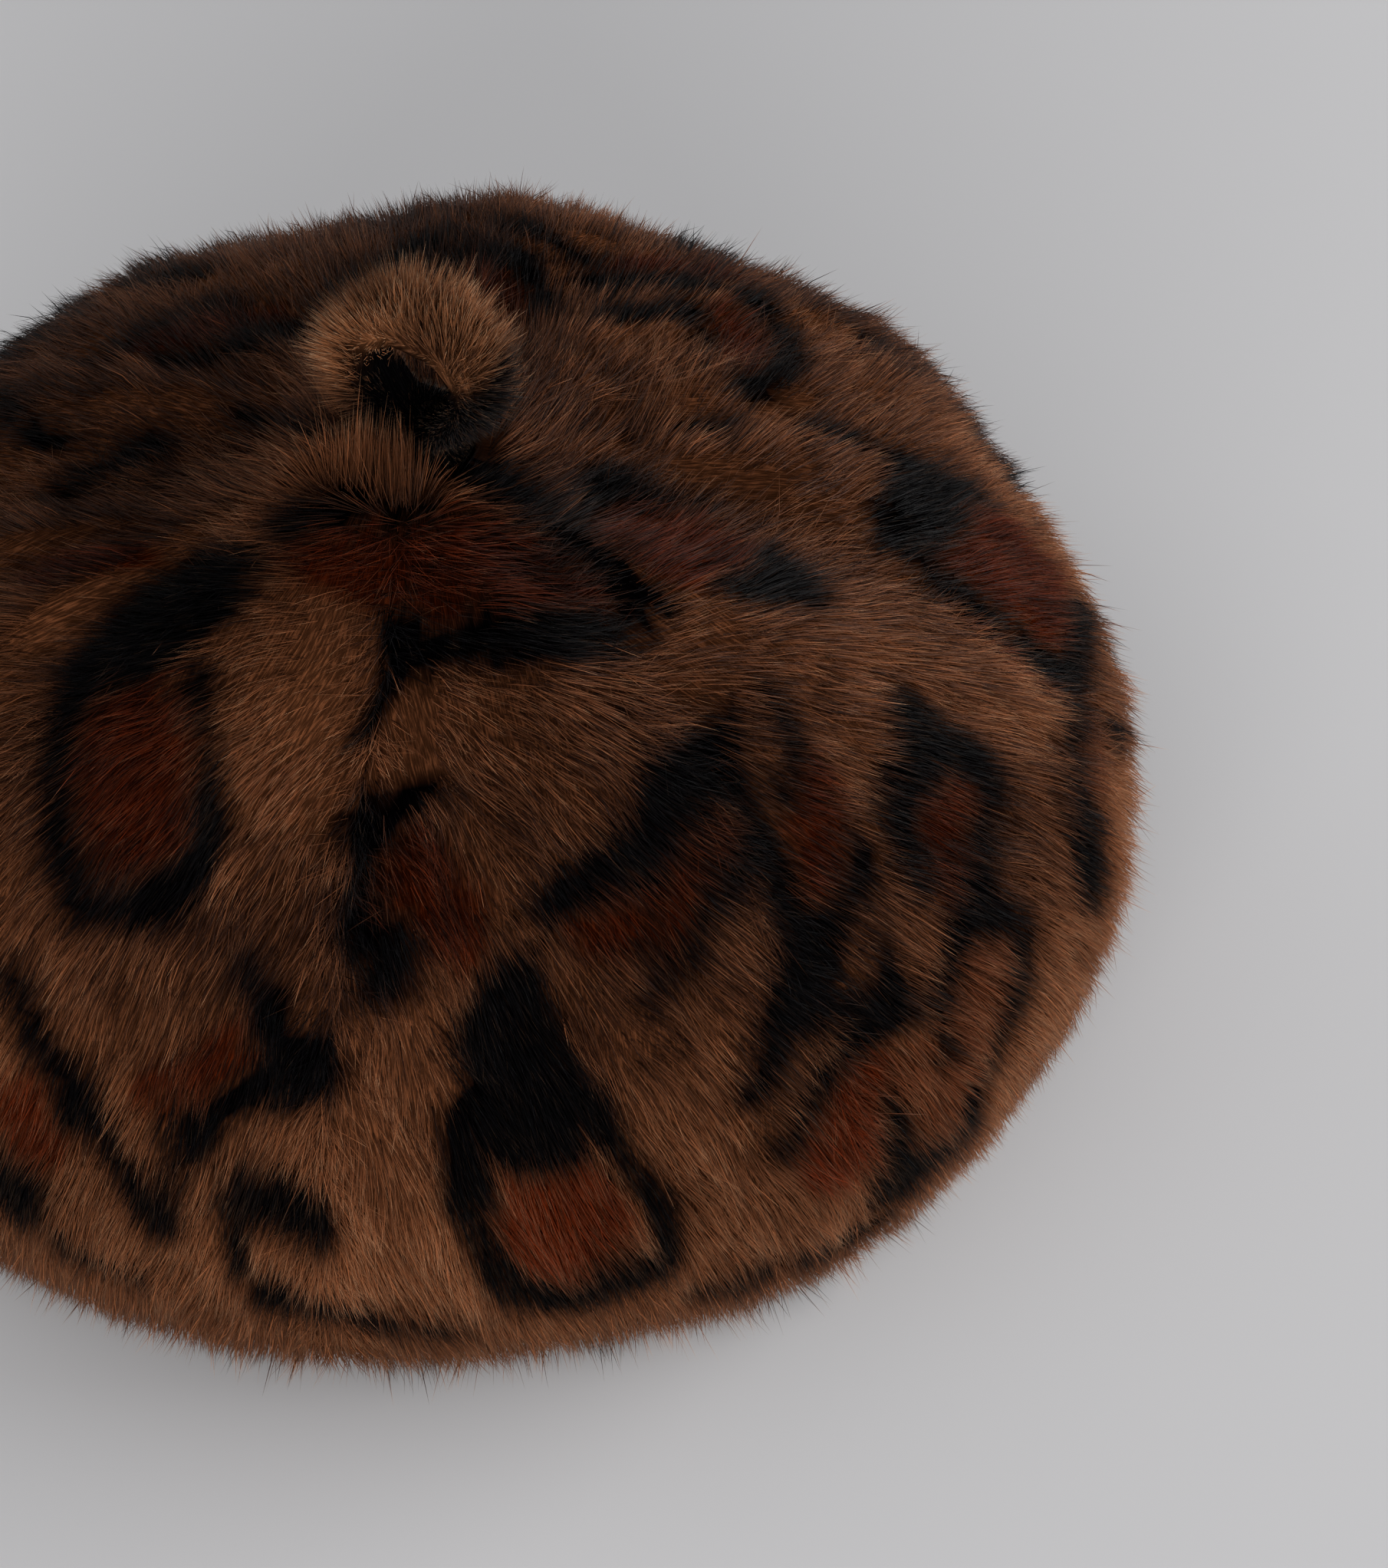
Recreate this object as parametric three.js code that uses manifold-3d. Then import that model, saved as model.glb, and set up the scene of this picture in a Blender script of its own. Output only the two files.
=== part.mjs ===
// A faux fur beret lying on a table: eight fur gores sewn into a high round crown, a hem band
// that turns under and ends in a folded edge around the head opening, and a fur loop on top.
// Millimetres, +Z up. The wearer's front points to -Y, and azimuth is counted from there to +X.
import * as THREE from "three";
import Module from "manifold-3d";
import { mergeVertices } from "three/addons/utils/BufferGeometryUtils.js";

// Driving dimensions of the crown, measured over the dense part of the fur.
const RIM_RADIUS = 135; // the widest ring of the crown
const RIM_HEIGHT = 42; // height of that ring above the table
const CROWN_HEIGHT = 124; // the round crown's middle above the table
const CROWN_PEAK = 6; // how far the gathered middle stands above the round crown
const CROWN_PEAK_RADIUS = 34;
const DOME_FULLNESS = 2.25; // 2 is an ellipse, more is squarer at the shoulder
const DOME_RISE = 1.76; // the same, upwards
const FOOT_RADIUS = 114; // where the rounded underside comes down to the table
const HEM_HEIGHT = 9; // height of the seam between the gores and the band

// The fur cloth and its sewing.
const BACKING = 3; // knitted backing cloth
const PILE = 8; // dense fur on the backing
const SEAM_GAP = 0.3; // clearance between two sewn pieces
const SEAM_DIP = 3; // how far the fur dips into a seam
const SEAM_DIP_WIDTH = 8; // half width of that dip
const GORE_COUNT = 8;
const FRONT_SEAM = THREE.MathUtils.degToRad(-7.4); // azimuth of the first seam

// The band around the head opening.
const OPENING_RADIUS = 89; // a head of about 56 cm
const BAND_HEIGHT = 12; // the folded edge that stands up around the opening
const BAND_WALL = 4; // folded cloth of that edge
const BAND_SOLE = 5.5; // the layer that lies on the table
const BAND_BEVEL = 2.5; // rounding of its foot

// The loop at the crown's middle: a flat tube of fur cloth.
const LOOP_STUB_RADIUS = 12; // both sewn ends, where they pass through the crown
const LOOP_WIDTH = 22; // across the strip, fur included
const LOOP_THICKNESS = 13; // through the strip, fur included
const LOOP_SPAN = 30; // between the middles of its two sides, at its widest
const LOOP_RISE = 25.5; // from the crown's fur up to the middle of its top
const LOOP_FOOT_SPAN = 15; // between the middles of its two ends
const LOOP_TURN = THREE.MathUtils.degToRad(-29);
const LOOP_LEAN = THREE.MathUtils.degToRad(-8); // it tips a little towards the back

// The fur's locks: each is a shingle that rises from its root to a pointed tip.
const LOCK_LENGTH = 18;
const LOCK_TIP = 1.6; // height of a tip over the dense fur
const LOCK_ROOT = -3; // height where the next tip covers it
const LOCK_POINT = 4; // how far a tip runs ahead of the valleys beside it
const LOCK_STEP = 0.9; // length of the step under a tip
const LOCK_WIDTH = 17;
const LOOP_LOCKS_ACROSS = 5;
const LOOP_LOCK_COUNT = 7;
const LOOP_LOCK_SCALE = 0.45; // the loop's fur is cropped shorter

// How the crown departs from a round one, as shares of the rim's radius: one row for each gore,
// with the share at the seam where it starts and at its middle.
const GORES = [
  { seam: 0.968, belly: 0.956 },
  { seam: 0.996, belly: 1.0 },
  { seam: 1.02, belly: 1.004 },
  { seam: 1.002, belly: 1.034 },
  { seam: 1.032, belly: 1.004 },
  { seam: 1.008, belly: 1.0 },
  { seam: 1.018, belly: 1.0 },
  { seam: 1.018, belly: 0.986 },
];

// Soft dents and swells of the crown. Azimuth in degrees, reach as a share of the rim's radius,
// depth (outwards is positive) and both half widths as shares of the crown's height.
const FOLDS = [
  { azimuth: -30, reach: 0.17, depth: 0.045, along: 0.1, across: 0.16 },
  { azimuth: 150, reach: 0.18, depth: 0.02, along: 0.1, across: 0.2 },
  { azimuth: -8, reach: 0.4, depth: -0.03, along: 0.2, across: 0.1 },
  { azimuth: 22, reach: 0.42, depth: 0.025, along: 0.24, across: 0.16 },
  { azimuth: -42, reach: 0.44, depth: 0.025, along: 0.26, across: 0.18 },
  { azimuth: 62, reach: 0.52, depth: 0.02, along: 0.22, across: 0.12 },
  { azimuth: 84, reach: 0.38, depth: -0.025, along: 0.24, across: 0.11 },
  { azimuth: -97, reach: 0.4, depth: -0.03, along: 0.26, across: 0.12 },
  { azimuth: 150, reach: 0.5, depth: -0.02, along: 0.2, across: 0.14 },
  { azimuth: 130, reach: 0.88, depth: 0.045, along: 0.3, across: 0.14 },
  { azimuth: 173, reach: 0.8, depth: 0.04, along: 0.3, across: 0.12 },
  { azimuth: -144, reach: 0.84, depth: 0.025, along: 0.3, across: 0.12 },
];

const WALL = BACKING + PILE;
const QUARTER = Math.PI / 2;

// The crown's outline from its middle over the rim to the table, as radius and height.
class CrownProfile extends THREE.Curve {
  getPoint(t, target = new THREE.Vector2()) {
    if (t <= 0.5) {
      const a = 2 * t * QUARTER;
      const rise = Math.max(Math.cos(a), 0) ** (2 / DOME_RISE);
      const radius = RIM_RADIUS * Math.sin(a) ** (2 / DOME_FULLNESS);
      const peak = CROWN_PEAK * Math.exp(-((radius / CROWN_PEAK_RADIUS) ** 2));
      return target.set(radius, RIM_HEIGHT + (CROWN_HEIGHT - RIM_HEIGHT) * rise + peak);
    }
    const a = (2 * t - 1) * QUARTER;
    return target.set(
      FOOT_RADIUS + (RIM_RADIUS - FOOT_RADIUS) * Math.cos(a),
      RIM_HEIGHT * (1 - Math.sin(a)),
    );
  }
}
const profile = new CrownProfile();
profile.arcLengthDivisions = 800;
const PROFILE_LENGTH = profile.getLength();

// The distance along the profile, as a share, at which test first holds.
function shareWhere(test) {
  let low = 0;
  let high = 1;
  for (let i = 0; i < 40; i++) {
    const middle = (low + high) / 2;
    if (test(profile.getPointAt(middle))) high = middle;
    else low = middle;
  }
  return high;
}
const HOLE_RADIUS = LOOP_STUB_RADIUS + 2 * SEAM_GAP;
const TOP_SHARE = shareWhere((p) => p.x >= HOLE_RADIUS);
const RIM_SHARE = shareWhere((p) => p.y <= RIM_HEIGHT + 1e-6);
const HEM_SHARE = shareWhere((p) => p.x < RIM_RADIUS && p.y <= HEM_HEIGHT);

// The crown's radius at an azimuth, as a share of a round one, by a curve through the table.
const KNOTS = GORES.flatMap(({ seam, belly }) => [seam, belly]);
function radiusShare(azimuth) {
  const place = ((azimuth - FRONT_SEAM) / (2 * Math.PI)) * KNOTS.length;
  const first = Math.floor(place);
  const knot = (i) => KNOTS[(((first + i) % KNOTS.length) + KNOTS.length) % KNOTS.length];
  const f = place - first;
  const slope0 = (knot(1) - knot(-1)) / 2;
  const slope1 = (knot(2) - knot(0)) / 2;
  const f2 = f * f;
  const f3 = f2 * f;
  return (
    (2 * f3 - 3 * f2 + 1) * knot(0) +
    (f3 - 2 * f2 + f) * slope0 +
    (3 * f2 - 2 * f3) * knot(1) +
    (f3 - f2) * slope1
  );
}

// A point of the evenly rounded crown, before seams, folds and fur.
function roundPoint(azimuth, share) {
  const p = profile.getPointAt(THREE.MathUtils.clamp(share, 0, 1));
  const radius = p.x * radiusShare(azimuth);
  return new THREE.Vector3(radius * Math.sin(azimuth), -radius * Math.cos(azimuth), p.y);
}

function outwardNormal(azimuth, share) {
  const step = 1e-3;
  const along = roundPoint(azimuth, share + step).sub(roundPoint(azimuth, share - step));
  const around = roundPoint(azimuth + step, share).sub(roundPoint(azimuth - step, share));
  return along.cross(around).normalize();
}

// How far seams and folds move the surface at a place, outwards positive.
function relief(azimuth, share) {
  const p = profile.getPointAt(THREE.MathUtils.clamp(share, 0, 1));
  const pitch = (2 * Math.PI) / GORE_COUNT;
  const turns = (azimuth - FRONT_SEAM) / pitch;
  const fromSeam = Math.abs(turns - Math.round(turns)) * pitch * p.x;
  const open = THREE.MathUtils.smoothstep(p.x, HOLE_RADIUS * 0.5, HOLE_RADIUS * 3);
  let moved = -SEAM_DIP * open * Math.exp(-((fromSeam / SEAM_DIP_WIDTH) ** 2));
  for (const fold of FOLDS) {
    const centre = THREE.MathUtils.degToRad(fold.azimuth);
    const turn = Math.atan2(Math.sin(azimuth - centre), Math.cos(azimuth - centre));
    const across = (turn * p.x) / (fold.across * CROWN_HEIGHT);
    const along = (p.x - fold.reach * RIM_RADIUS) / (fold.along * CROWN_HEIGHT);
    const edge = THREE.MathUtils.smoothstep(p.x, HOLE_RADIUS * 0.6, HOLE_RADIUS * 1.4);
    if (share < RIM_SHARE)
      moved += edge * fold.depth * CROWN_HEIGHT * Math.exp(-across * across - along * along);
  }
  return moved * THREE.MathUtils.smoothstep(HEM_SHARE - share, 0, 0.08);
}

// A point of the cloth, height over the dense fur's surface.
function clothPoint(azimuth, share, height) {
  const normal = outwardNormal(azimuth, share);
  const moved = height + relief(azimuth, share);
  return roundPoint(azimuth, share).addScaledVector(normal, moved);
}

// The same on a seam: side is +1 or -1, the side of the seam plane on which the piece lies.
function seamPoint(azimuth, share, height, side) {
  const radial = new THREE.Vector3(Math.sin(azimuth), -Math.cos(azimuth), 0);
  const across = new THREE.Vector3(Math.cos(azimuth), Math.sin(azimuth), 0);
  const point = clothPoint(azimuth, share, height);
  point.addScaledVector(across, -point.dot(across)).addScaledVector(across, (side * SEAM_GAP) / 2);
  const least = Math.sqrt(HOLE_RADIUS ** 2 - (SEAM_GAP / 2) ** 2);
  const reach = point.dot(radial);
  if (reach < least) point.addScaledVector(radial, least - reach);
  return point;
}

// Collects triangles for one closed body.
class Shell {
  constructor() {
    this.points = [];
    this.faces = [];
  }
  add(point) {
    return this.points.push(point.x, point.y, point.z) / 3 - 1;
  }
  line(points) {
    return points.map((point) => this.add(point));
  }
  face(a, b, c) {
    if (a !== b && b !== c && c !== a) this.faces.push(a, b, c);
  }
  // Fills between two lines of points that run the same way and may differ in number.
  between(left, right) {
    let i = 0;
    let j = 0;
    while (i < left.length - 1 || j < right.length - 1) {
      const nextLeft = (i + 1) / Math.max(left.length - 1, 1);
      const nextRight = (j + 1) / Math.max(right.length - 1, 1);
      const takeLeft = j === right.length - 1 || (i < left.length - 1 && nextLeft <= nextRight);
      if (takeLeft) {
        this.face(left[i], right[j], left[i + 1]);
        i++;
      } else {
        this.face(left[i], right[j], right[j + 1]);
        j++;
      }
    }
  }
  geometry() {
    return new THREE.BufferGeometry()
      .setAttribute("position", new THREE.Float32BufferAttribute(this.points, 3))
      .setIndex(this.faces);
  }
}

// The lines of points that make one row of locks after another. place(across, along, height) gives
// a point, with across from 0 to 1 and along in millimetres. Valleys lie between the locks, and
// rows of as many locks are staggered. Where the number changes, the next roots lie in line.
function lockLines({ rows, length, columnsAt, place, scale = 1, closed = false }) {
  const lines = [];
  for (let row = 0; row < rows; row++) {
    const columns = columnsAt(row);
    const isTip = (column, ofRow) =>
      (column + ofRow) % 2 === 1 && (closed || (column > 0 && column < columns));
    const joined = row > 0 && columnsAt(row - 1) === columns;
    const stagger = (column, ofRow) => (isTip(column, ofRow) ? 0.5 : -0.5) * LOCK_POINT * scale;
    const root = [];
    const belly = [];
    const tip = [];
    for (let column = 0; column <= (closed ? columns - 1 : columns); column++) {
      const across = column / columns;
      const tipHere = isTip(column, row);
      const covered = joined ? stagger(column, row - 1) : 0.5 * LOCK_POINT * scale;
      const from = (row * length) / rows + (row > 0 ? LOCK_STEP * scale + covered : 0);
      const to = ((row + 1) * length) / rows + (row < rows - 1 ? stagger(column, row) : 0);
      root.push(place(across, from, LOCK_ROOT * scale));
      belly.push(place(across, from + 0.45 * (to - from), (tipHere ? 0.6 : -2) * scale));
      tip.push(place(across, to, (tipHere ? LOCK_TIP : -1.4) * scale));
    }
    lines.push(root, belly, tip);
  }
  return lines;
}

// How many columns of points a gore has at a distance below the crown's middle: two for a lock.
function goreColumns(along) {
  const reach = profile.getPointAt(Math.min(TOP_SHARE + along / PROFILE_LENGTH, 1)).x;
  return 2 * Math.max(Math.round((reach * 2 * Math.PI) / GORE_COUNT / LOCK_WIDTH), 1);
}
const GORE_LENGTH = (HEM_SHARE - TOP_SHARE) * PROFILE_LENGTH;
const GORE_ROWS = Math.round(GORE_LENGTH / LOCK_LENGTH);
const rowColumns = (row) => goreColumns(((row + 0.5) * GORE_LENGTH) / GORE_ROWS);

// One gore: a hollow-backed panel of fur cloth from the crown's middle to the hem.
function makeGore(index) {
  const pitch = (2 * Math.PI) / GORE_COUNT;
  const start = FRONT_SEAM + index * pitch;
  const place = (across, along, height) => {
    const share = TOP_SHARE + along / PROFILE_LENGTH;
    if (across === 0) return seamPoint(start, share, height, 1);
    if (across === 1) return seamPoint(start + pitch, share, height, -1);
    const point = clothPoint(start + across * pitch, share, height);
    const reach = Math.hypot(point.x, point.y);
    if (reach < HOLE_RADIUS) {
      point.x *= HOLE_RADIUS / reach;
      point.y *= HOLE_RADIUS / reach;
    }
    return point;
  };
  const shell = new Shell();
  const outer = lockLines({
    rows: GORE_ROWS,
    length: GORE_LENGTH,
    columnsAt: rowColumns,
    place,
  }).map((line) => shell.line(line));
  const inner = [];
  for (let row = 0; row <= GORE_ROWS; row++) {
    const atHem = row === GORE_ROWS;
    const columns = atHem ? rowColumns(row - 1) : Math.max(rowColumns(row) / 2, 2);
    const line = [];
    for (let column = 0; column <= columns; column++)
      line.push(place(column / columns, (row * GORE_LENGTH) / GORE_ROWS, -WALL));
    inner.push(shell.line(line));
  }
  for (let i = 0; i < outer.length - 1; i++) shell.between(outer[i], outer[i + 1]);
  for (let i = 0; i < inner.length - 1; i++) shell.between(inner[i + 1], inner[i]);
  shell.between(inner[0], outer[0]);
  shell.between(outer[outer.length - 1], inner[inner.length - 1]);
  const edge = (lines, column) => lines.map((line) => line[column < 0 ? line.length - 1 : column]);
  shell.between(edge(outer, 0), edge(inner, 0));
  shell.between(edge(inner, -1), edge(outer, -1));
  return shell.geometry();
}

// The band: one ring that carries on from the gores' hem, lies on the table and turns up inside.
function makeBand() {
  const pitch = (2 * Math.PI) / GORE_COUNT;
  const goreColumnCount = rowColumns(GORE_ROWS - 1);
  const columns = goreColumnCount * GORE_COUNT;
  const shell = new Shell();
  const sections = [];
  for (let column = 0; column < columns; column++) {
    const azimuth = FRONT_SEAM + (column / goreColumnCount) * pitch;
    const radial = new THREE.Vector3(Math.sin(azimuth), -Math.cos(azimuth), 0);
    const share = radiusShare(azimuth);
    const at = (radius, height) =>
      radial.clone().multiplyScalar(radius).setComponent(2, height);
    const hem = HEM_SHARE + SEAM_GAP / PROFILE_LENGTH;
    const outerHem = clothPoint(azimuth, hem, LOCK_ROOT);
    const innerHem = clothPoint(azimuth, hem, -WALL);
    const ridge = column % 2 === 1;
    const fringe = clothPoint(azimuth, (hem + 1) / 2, ridge ? LOCK_TIP : LOCK_ROOT / 2);
    const foot = FOOT_RADIUS * share;
    sections.push(
      shell.line([
        outerHem,
        fringe,
        at(foot + (ridge ? LOCK_POINT : 0), 0),
        at(OPENING_RADIUS + BAND_BEVEL, 0),
        at(OPENING_RADIUS, BAND_BEVEL),
        at(OPENING_RADIUS, BAND_HEIGHT),
        at(OPENING_RADIUS + BAND_WALL, BAND_HEIGHT),
        at(OPENING_RADIUS + BAND_WALL, BAND_SOLE + BAND_BEVEL),
        at(OPENING_RADIUS + BAND_WALL + BAND_BEVEL, BAND_SOLE),
        at(foot - WALL, BAND_SOLE),
        innerHem,
      ]),
    );
  }
  const count = sections[0].length;
  sections.forEach((section, i) => {
    const next = sections[(i + 1) % columns];
    for (let k = 0; k < count; k++) {
      const l = (k + 1) % count;
      shell.face(section[k], section[l], next[l]);
      shell.face(section[k], next[l], next[k]);
    }
  });
  return shell.geometry();
}

const wasm = await Module();
wasm.setup();

function toSolid(geometry) {
  const bare = geometry.clone();
  bare.deleteAttribute("normal");
  bare.deleteAttribute("uv");
  const merged = mergeVertices(bare, 1e-3);
  return new wasm.Manifold(
    new wasm.Mesh({
      numProp: 3,
      vertProperties: merged.attributes.position.array,
      triVerts: new Uint32Array(merged.index.array),
    }),
  );
}

function toGeometry(solid) {
  const mesh = solid.getMesh();
  return new THREE.BufferGeometry()
    .setAttribute("position", new THREE.Float32BufferAttribute(mesh.vertProperties, 3))
    .setIndex(new THREE.BufferAttribute(mesh.triVerts, 1));
}

// The loop's middle line, in its own upright plane, with its foot at the origin.
const LOOP_LINE = [
  { across: -0.5, up: -0.12, span: LOOP_FOOT_SPAN },
  { across: -0.5, up: 0.08, span: LOOP_FOOT_SPAN * 1.25 },
  { across: -0.5, up: 0.42, span: LOOP_SPAN },
  { across: -0.43, up: 0.78, span: LOOP_SPAN },
  { across: 0, up: 1, span: LOOP_SPAN },
  { across: 0.43, up: 0.78, span: LOOP_SPAN },
  { across: 0.5, up: 0.42, span: LOOP_SPAN },
  { across: 0.5, up: 0.08, span: LOOP_FOOT_SPAN * 1.25 },
  { across: 0.5, up: -0.12, span: LOOP_FOOT_SPAN },
];

// The loop: a flat fur tube whose two ends meet in a stub that fills the hole in the crown.
function makeLoop() {
  const curve = new THREE.CatmullRomCurve3(
    LOOP_LINE.map(({ across, up, span }) => new THREE.Vector3(across * span, 0, up * LOOP_RISE)),
  );
  curve.arcLengthDivisions = 400;
  const length = curve.getLength();
  const depth = new THREE.Vector3(0, 1, 0);
  const place = (around, along, height) => {
    const share = THREE.MathUtils.clamp(along / length, 0, 1);
    const tangent = curve.getTangentAt(share);
    const outward = new THREE.Vector3().crossVectors(depth, tangent).normalize();
    const angle = around * 2 * Math.PI;
    return curve
      .getPointAt(share)
      .addScaledVector(depth, Math.cos(angle) * (LOOP_WIDTH / 2 + height))
      .addScaledVector(outward, Math.sin(angle) * (LOOP_THICKNESS / 2 + height));
  };
  const shell = new Shell();
  const lines = lockLines({
    rows: LOOP_LOCK_COUNT,
    length,
    columnsAt: () => 2 * LOOP_LOCKS_ACROSS,
    place,
    scale: LOOP_LOCK_SCALE,
    closed: true,
  }).map((line) => {
    const ring = shell.line(line);
    return [...ring, ring[0]];
  });
  for (let i = 0; i < lines.length - 1; i++) shell.between(lines[i], lines[i + 1]);
  const first = shell.add(curve.getPointAt(0));
  const last = shell.add(curve.getPointAt(1));
  lines[0].slice(1).forEach((point, i) => shell.face(first, lines[0][i], point));
  const end = lines[lines.length - 1];
  end.slice(1).forEach((point, i) => shell.face(last, point, end[i]));
  let tube = toSolid(shell.geometry());
  if (tube.volume() < 0) throw new Error("the loop's tube is inside out");

  const stub = new THREE.LatheGeometry(
    [
      new THREE.Vector2(0, -WALL),
      new THREE.Vector2(LOOP_STUB_RADIUS, -WALL),
      new THREE.Vector2(LOOP_STUB_RADIUS, -1),
      new THREE.Vector2(LOOP_STUB_RADIUS * 0.85, 1.5),
      new THREE.Vector2(LOOP_STUB_RADIUS * 0.5, 3),
      new THREE.Vector2(0, 3.5),
    ],
    24,
  );
  stub.rotateX(QUARTER);
  const arch = toGeometry(tube);
  arch.rotateX(LOOP_LEAN);
  const clear = new THREE.BoxGeometry(4 * LOOP_SPAN, 4 * LOOP_SPAN, LOOP_RISE);
  clear.translate(0, 0, LOCK_TIP - 1 - LOOP_RISE / 2);
  tube = toSolid(arch).subtract(toSolid(clear));
  const loop = toGeometry(tube.add(toSolid(stub)));
  loop.rotateZ(LOOP_TURN);
  loop.translate(0, 0, CROWN_HEIGHT + CROWN_PEAK);
  return loop;
}

const furTan = new THREE.MeshStandardMaterial({ color: 0x5d3f2c, roughness: 0.8, metalness: 0 });
const furDark = new THREE.MeshStandardMaterial({ color: 0x2b1a12, roughness: 0.85, metalness: 0 });

function piece(name, geometry, material) {
  geometry.computeVertexNormals();
  const mesh = new THREE.Mesh(geometry, material);
  mesh.name = name;
  return mesh;
}

const beret = new THREE.Group();
beret.name = "fur_beret";
for (let i = 0; i < GORE_COUNT; i++) beret.add(piece(`crown_gore_${i + 1}`, makeGore(i), furTan));
beret.add(piece("hem_band", makeBand(), furDark));
beret.add(piece("crown_loop", makeLoop(), furTan));

// The origin is the middle of the beret's outline on the table.
const box = new THREE.Box3().setFromObject(beret, true);
beret.position.set(-(box.min.x + box.max.x) / 2, -(box.min.y + box.max.y) / 2, -box.min.z);

export default beret;
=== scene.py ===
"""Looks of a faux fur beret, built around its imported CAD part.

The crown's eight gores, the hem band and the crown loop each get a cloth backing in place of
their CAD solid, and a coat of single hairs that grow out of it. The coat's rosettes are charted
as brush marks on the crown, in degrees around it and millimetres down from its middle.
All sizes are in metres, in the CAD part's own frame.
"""

import logging
import math
from dataclasses import dataclass, field, replace
from enum import Enum

import bpy
import numpy as np
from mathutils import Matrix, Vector


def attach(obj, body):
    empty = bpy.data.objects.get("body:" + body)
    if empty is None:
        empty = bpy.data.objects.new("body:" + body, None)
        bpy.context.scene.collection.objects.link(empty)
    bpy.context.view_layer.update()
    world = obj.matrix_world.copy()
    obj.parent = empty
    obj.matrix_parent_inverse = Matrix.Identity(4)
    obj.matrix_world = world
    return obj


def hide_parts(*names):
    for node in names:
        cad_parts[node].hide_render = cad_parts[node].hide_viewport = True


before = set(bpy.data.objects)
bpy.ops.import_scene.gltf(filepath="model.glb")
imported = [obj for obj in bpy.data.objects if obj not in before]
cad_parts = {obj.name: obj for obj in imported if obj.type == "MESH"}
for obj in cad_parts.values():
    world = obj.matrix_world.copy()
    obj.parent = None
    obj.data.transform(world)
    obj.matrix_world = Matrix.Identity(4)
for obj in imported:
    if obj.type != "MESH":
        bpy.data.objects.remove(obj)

LOG = logging.getLogger("beret")
BODY = "root"
FLOOR_GAP = 0.0004
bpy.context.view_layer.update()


class Ink(Enum):
    """A colour of the printed coat, as its share of black and of rust."""

    BLACK = (1.0, 0.0)
    RUST = (0.0, 1.0)
    DULL = (0.10, 0.55)


@dataclass(frozen=True)
class Marking:
    """One brush mark of the print.

    Each point holds the azimuth in degrees from the front towards the right, the distance from
    the crown's middle in millimetres down the cloth, and the mark's width there in millimetres.
    """

    name: str
    ink: Ink
    points: tuple[tuple[float, float, float], ...]


@dataclass(frozen=True)
class Repeat:
    """Rosettes that come again elsewhere on the cloth, as a printed fur repeats its pattern.

    Attributes:
        rosettes: first characters of the names of the marks that come again.
        turn: degrees that they are moved around the crown.
        slide: millimetres that they are moved down the cloth.
        mirrored: whether they are also reversed about the crown's front.
    """

    rosettes: tuple[str, ...]
    turn: float
    slide: float = 0.0
    mirrored: bool = False


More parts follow.
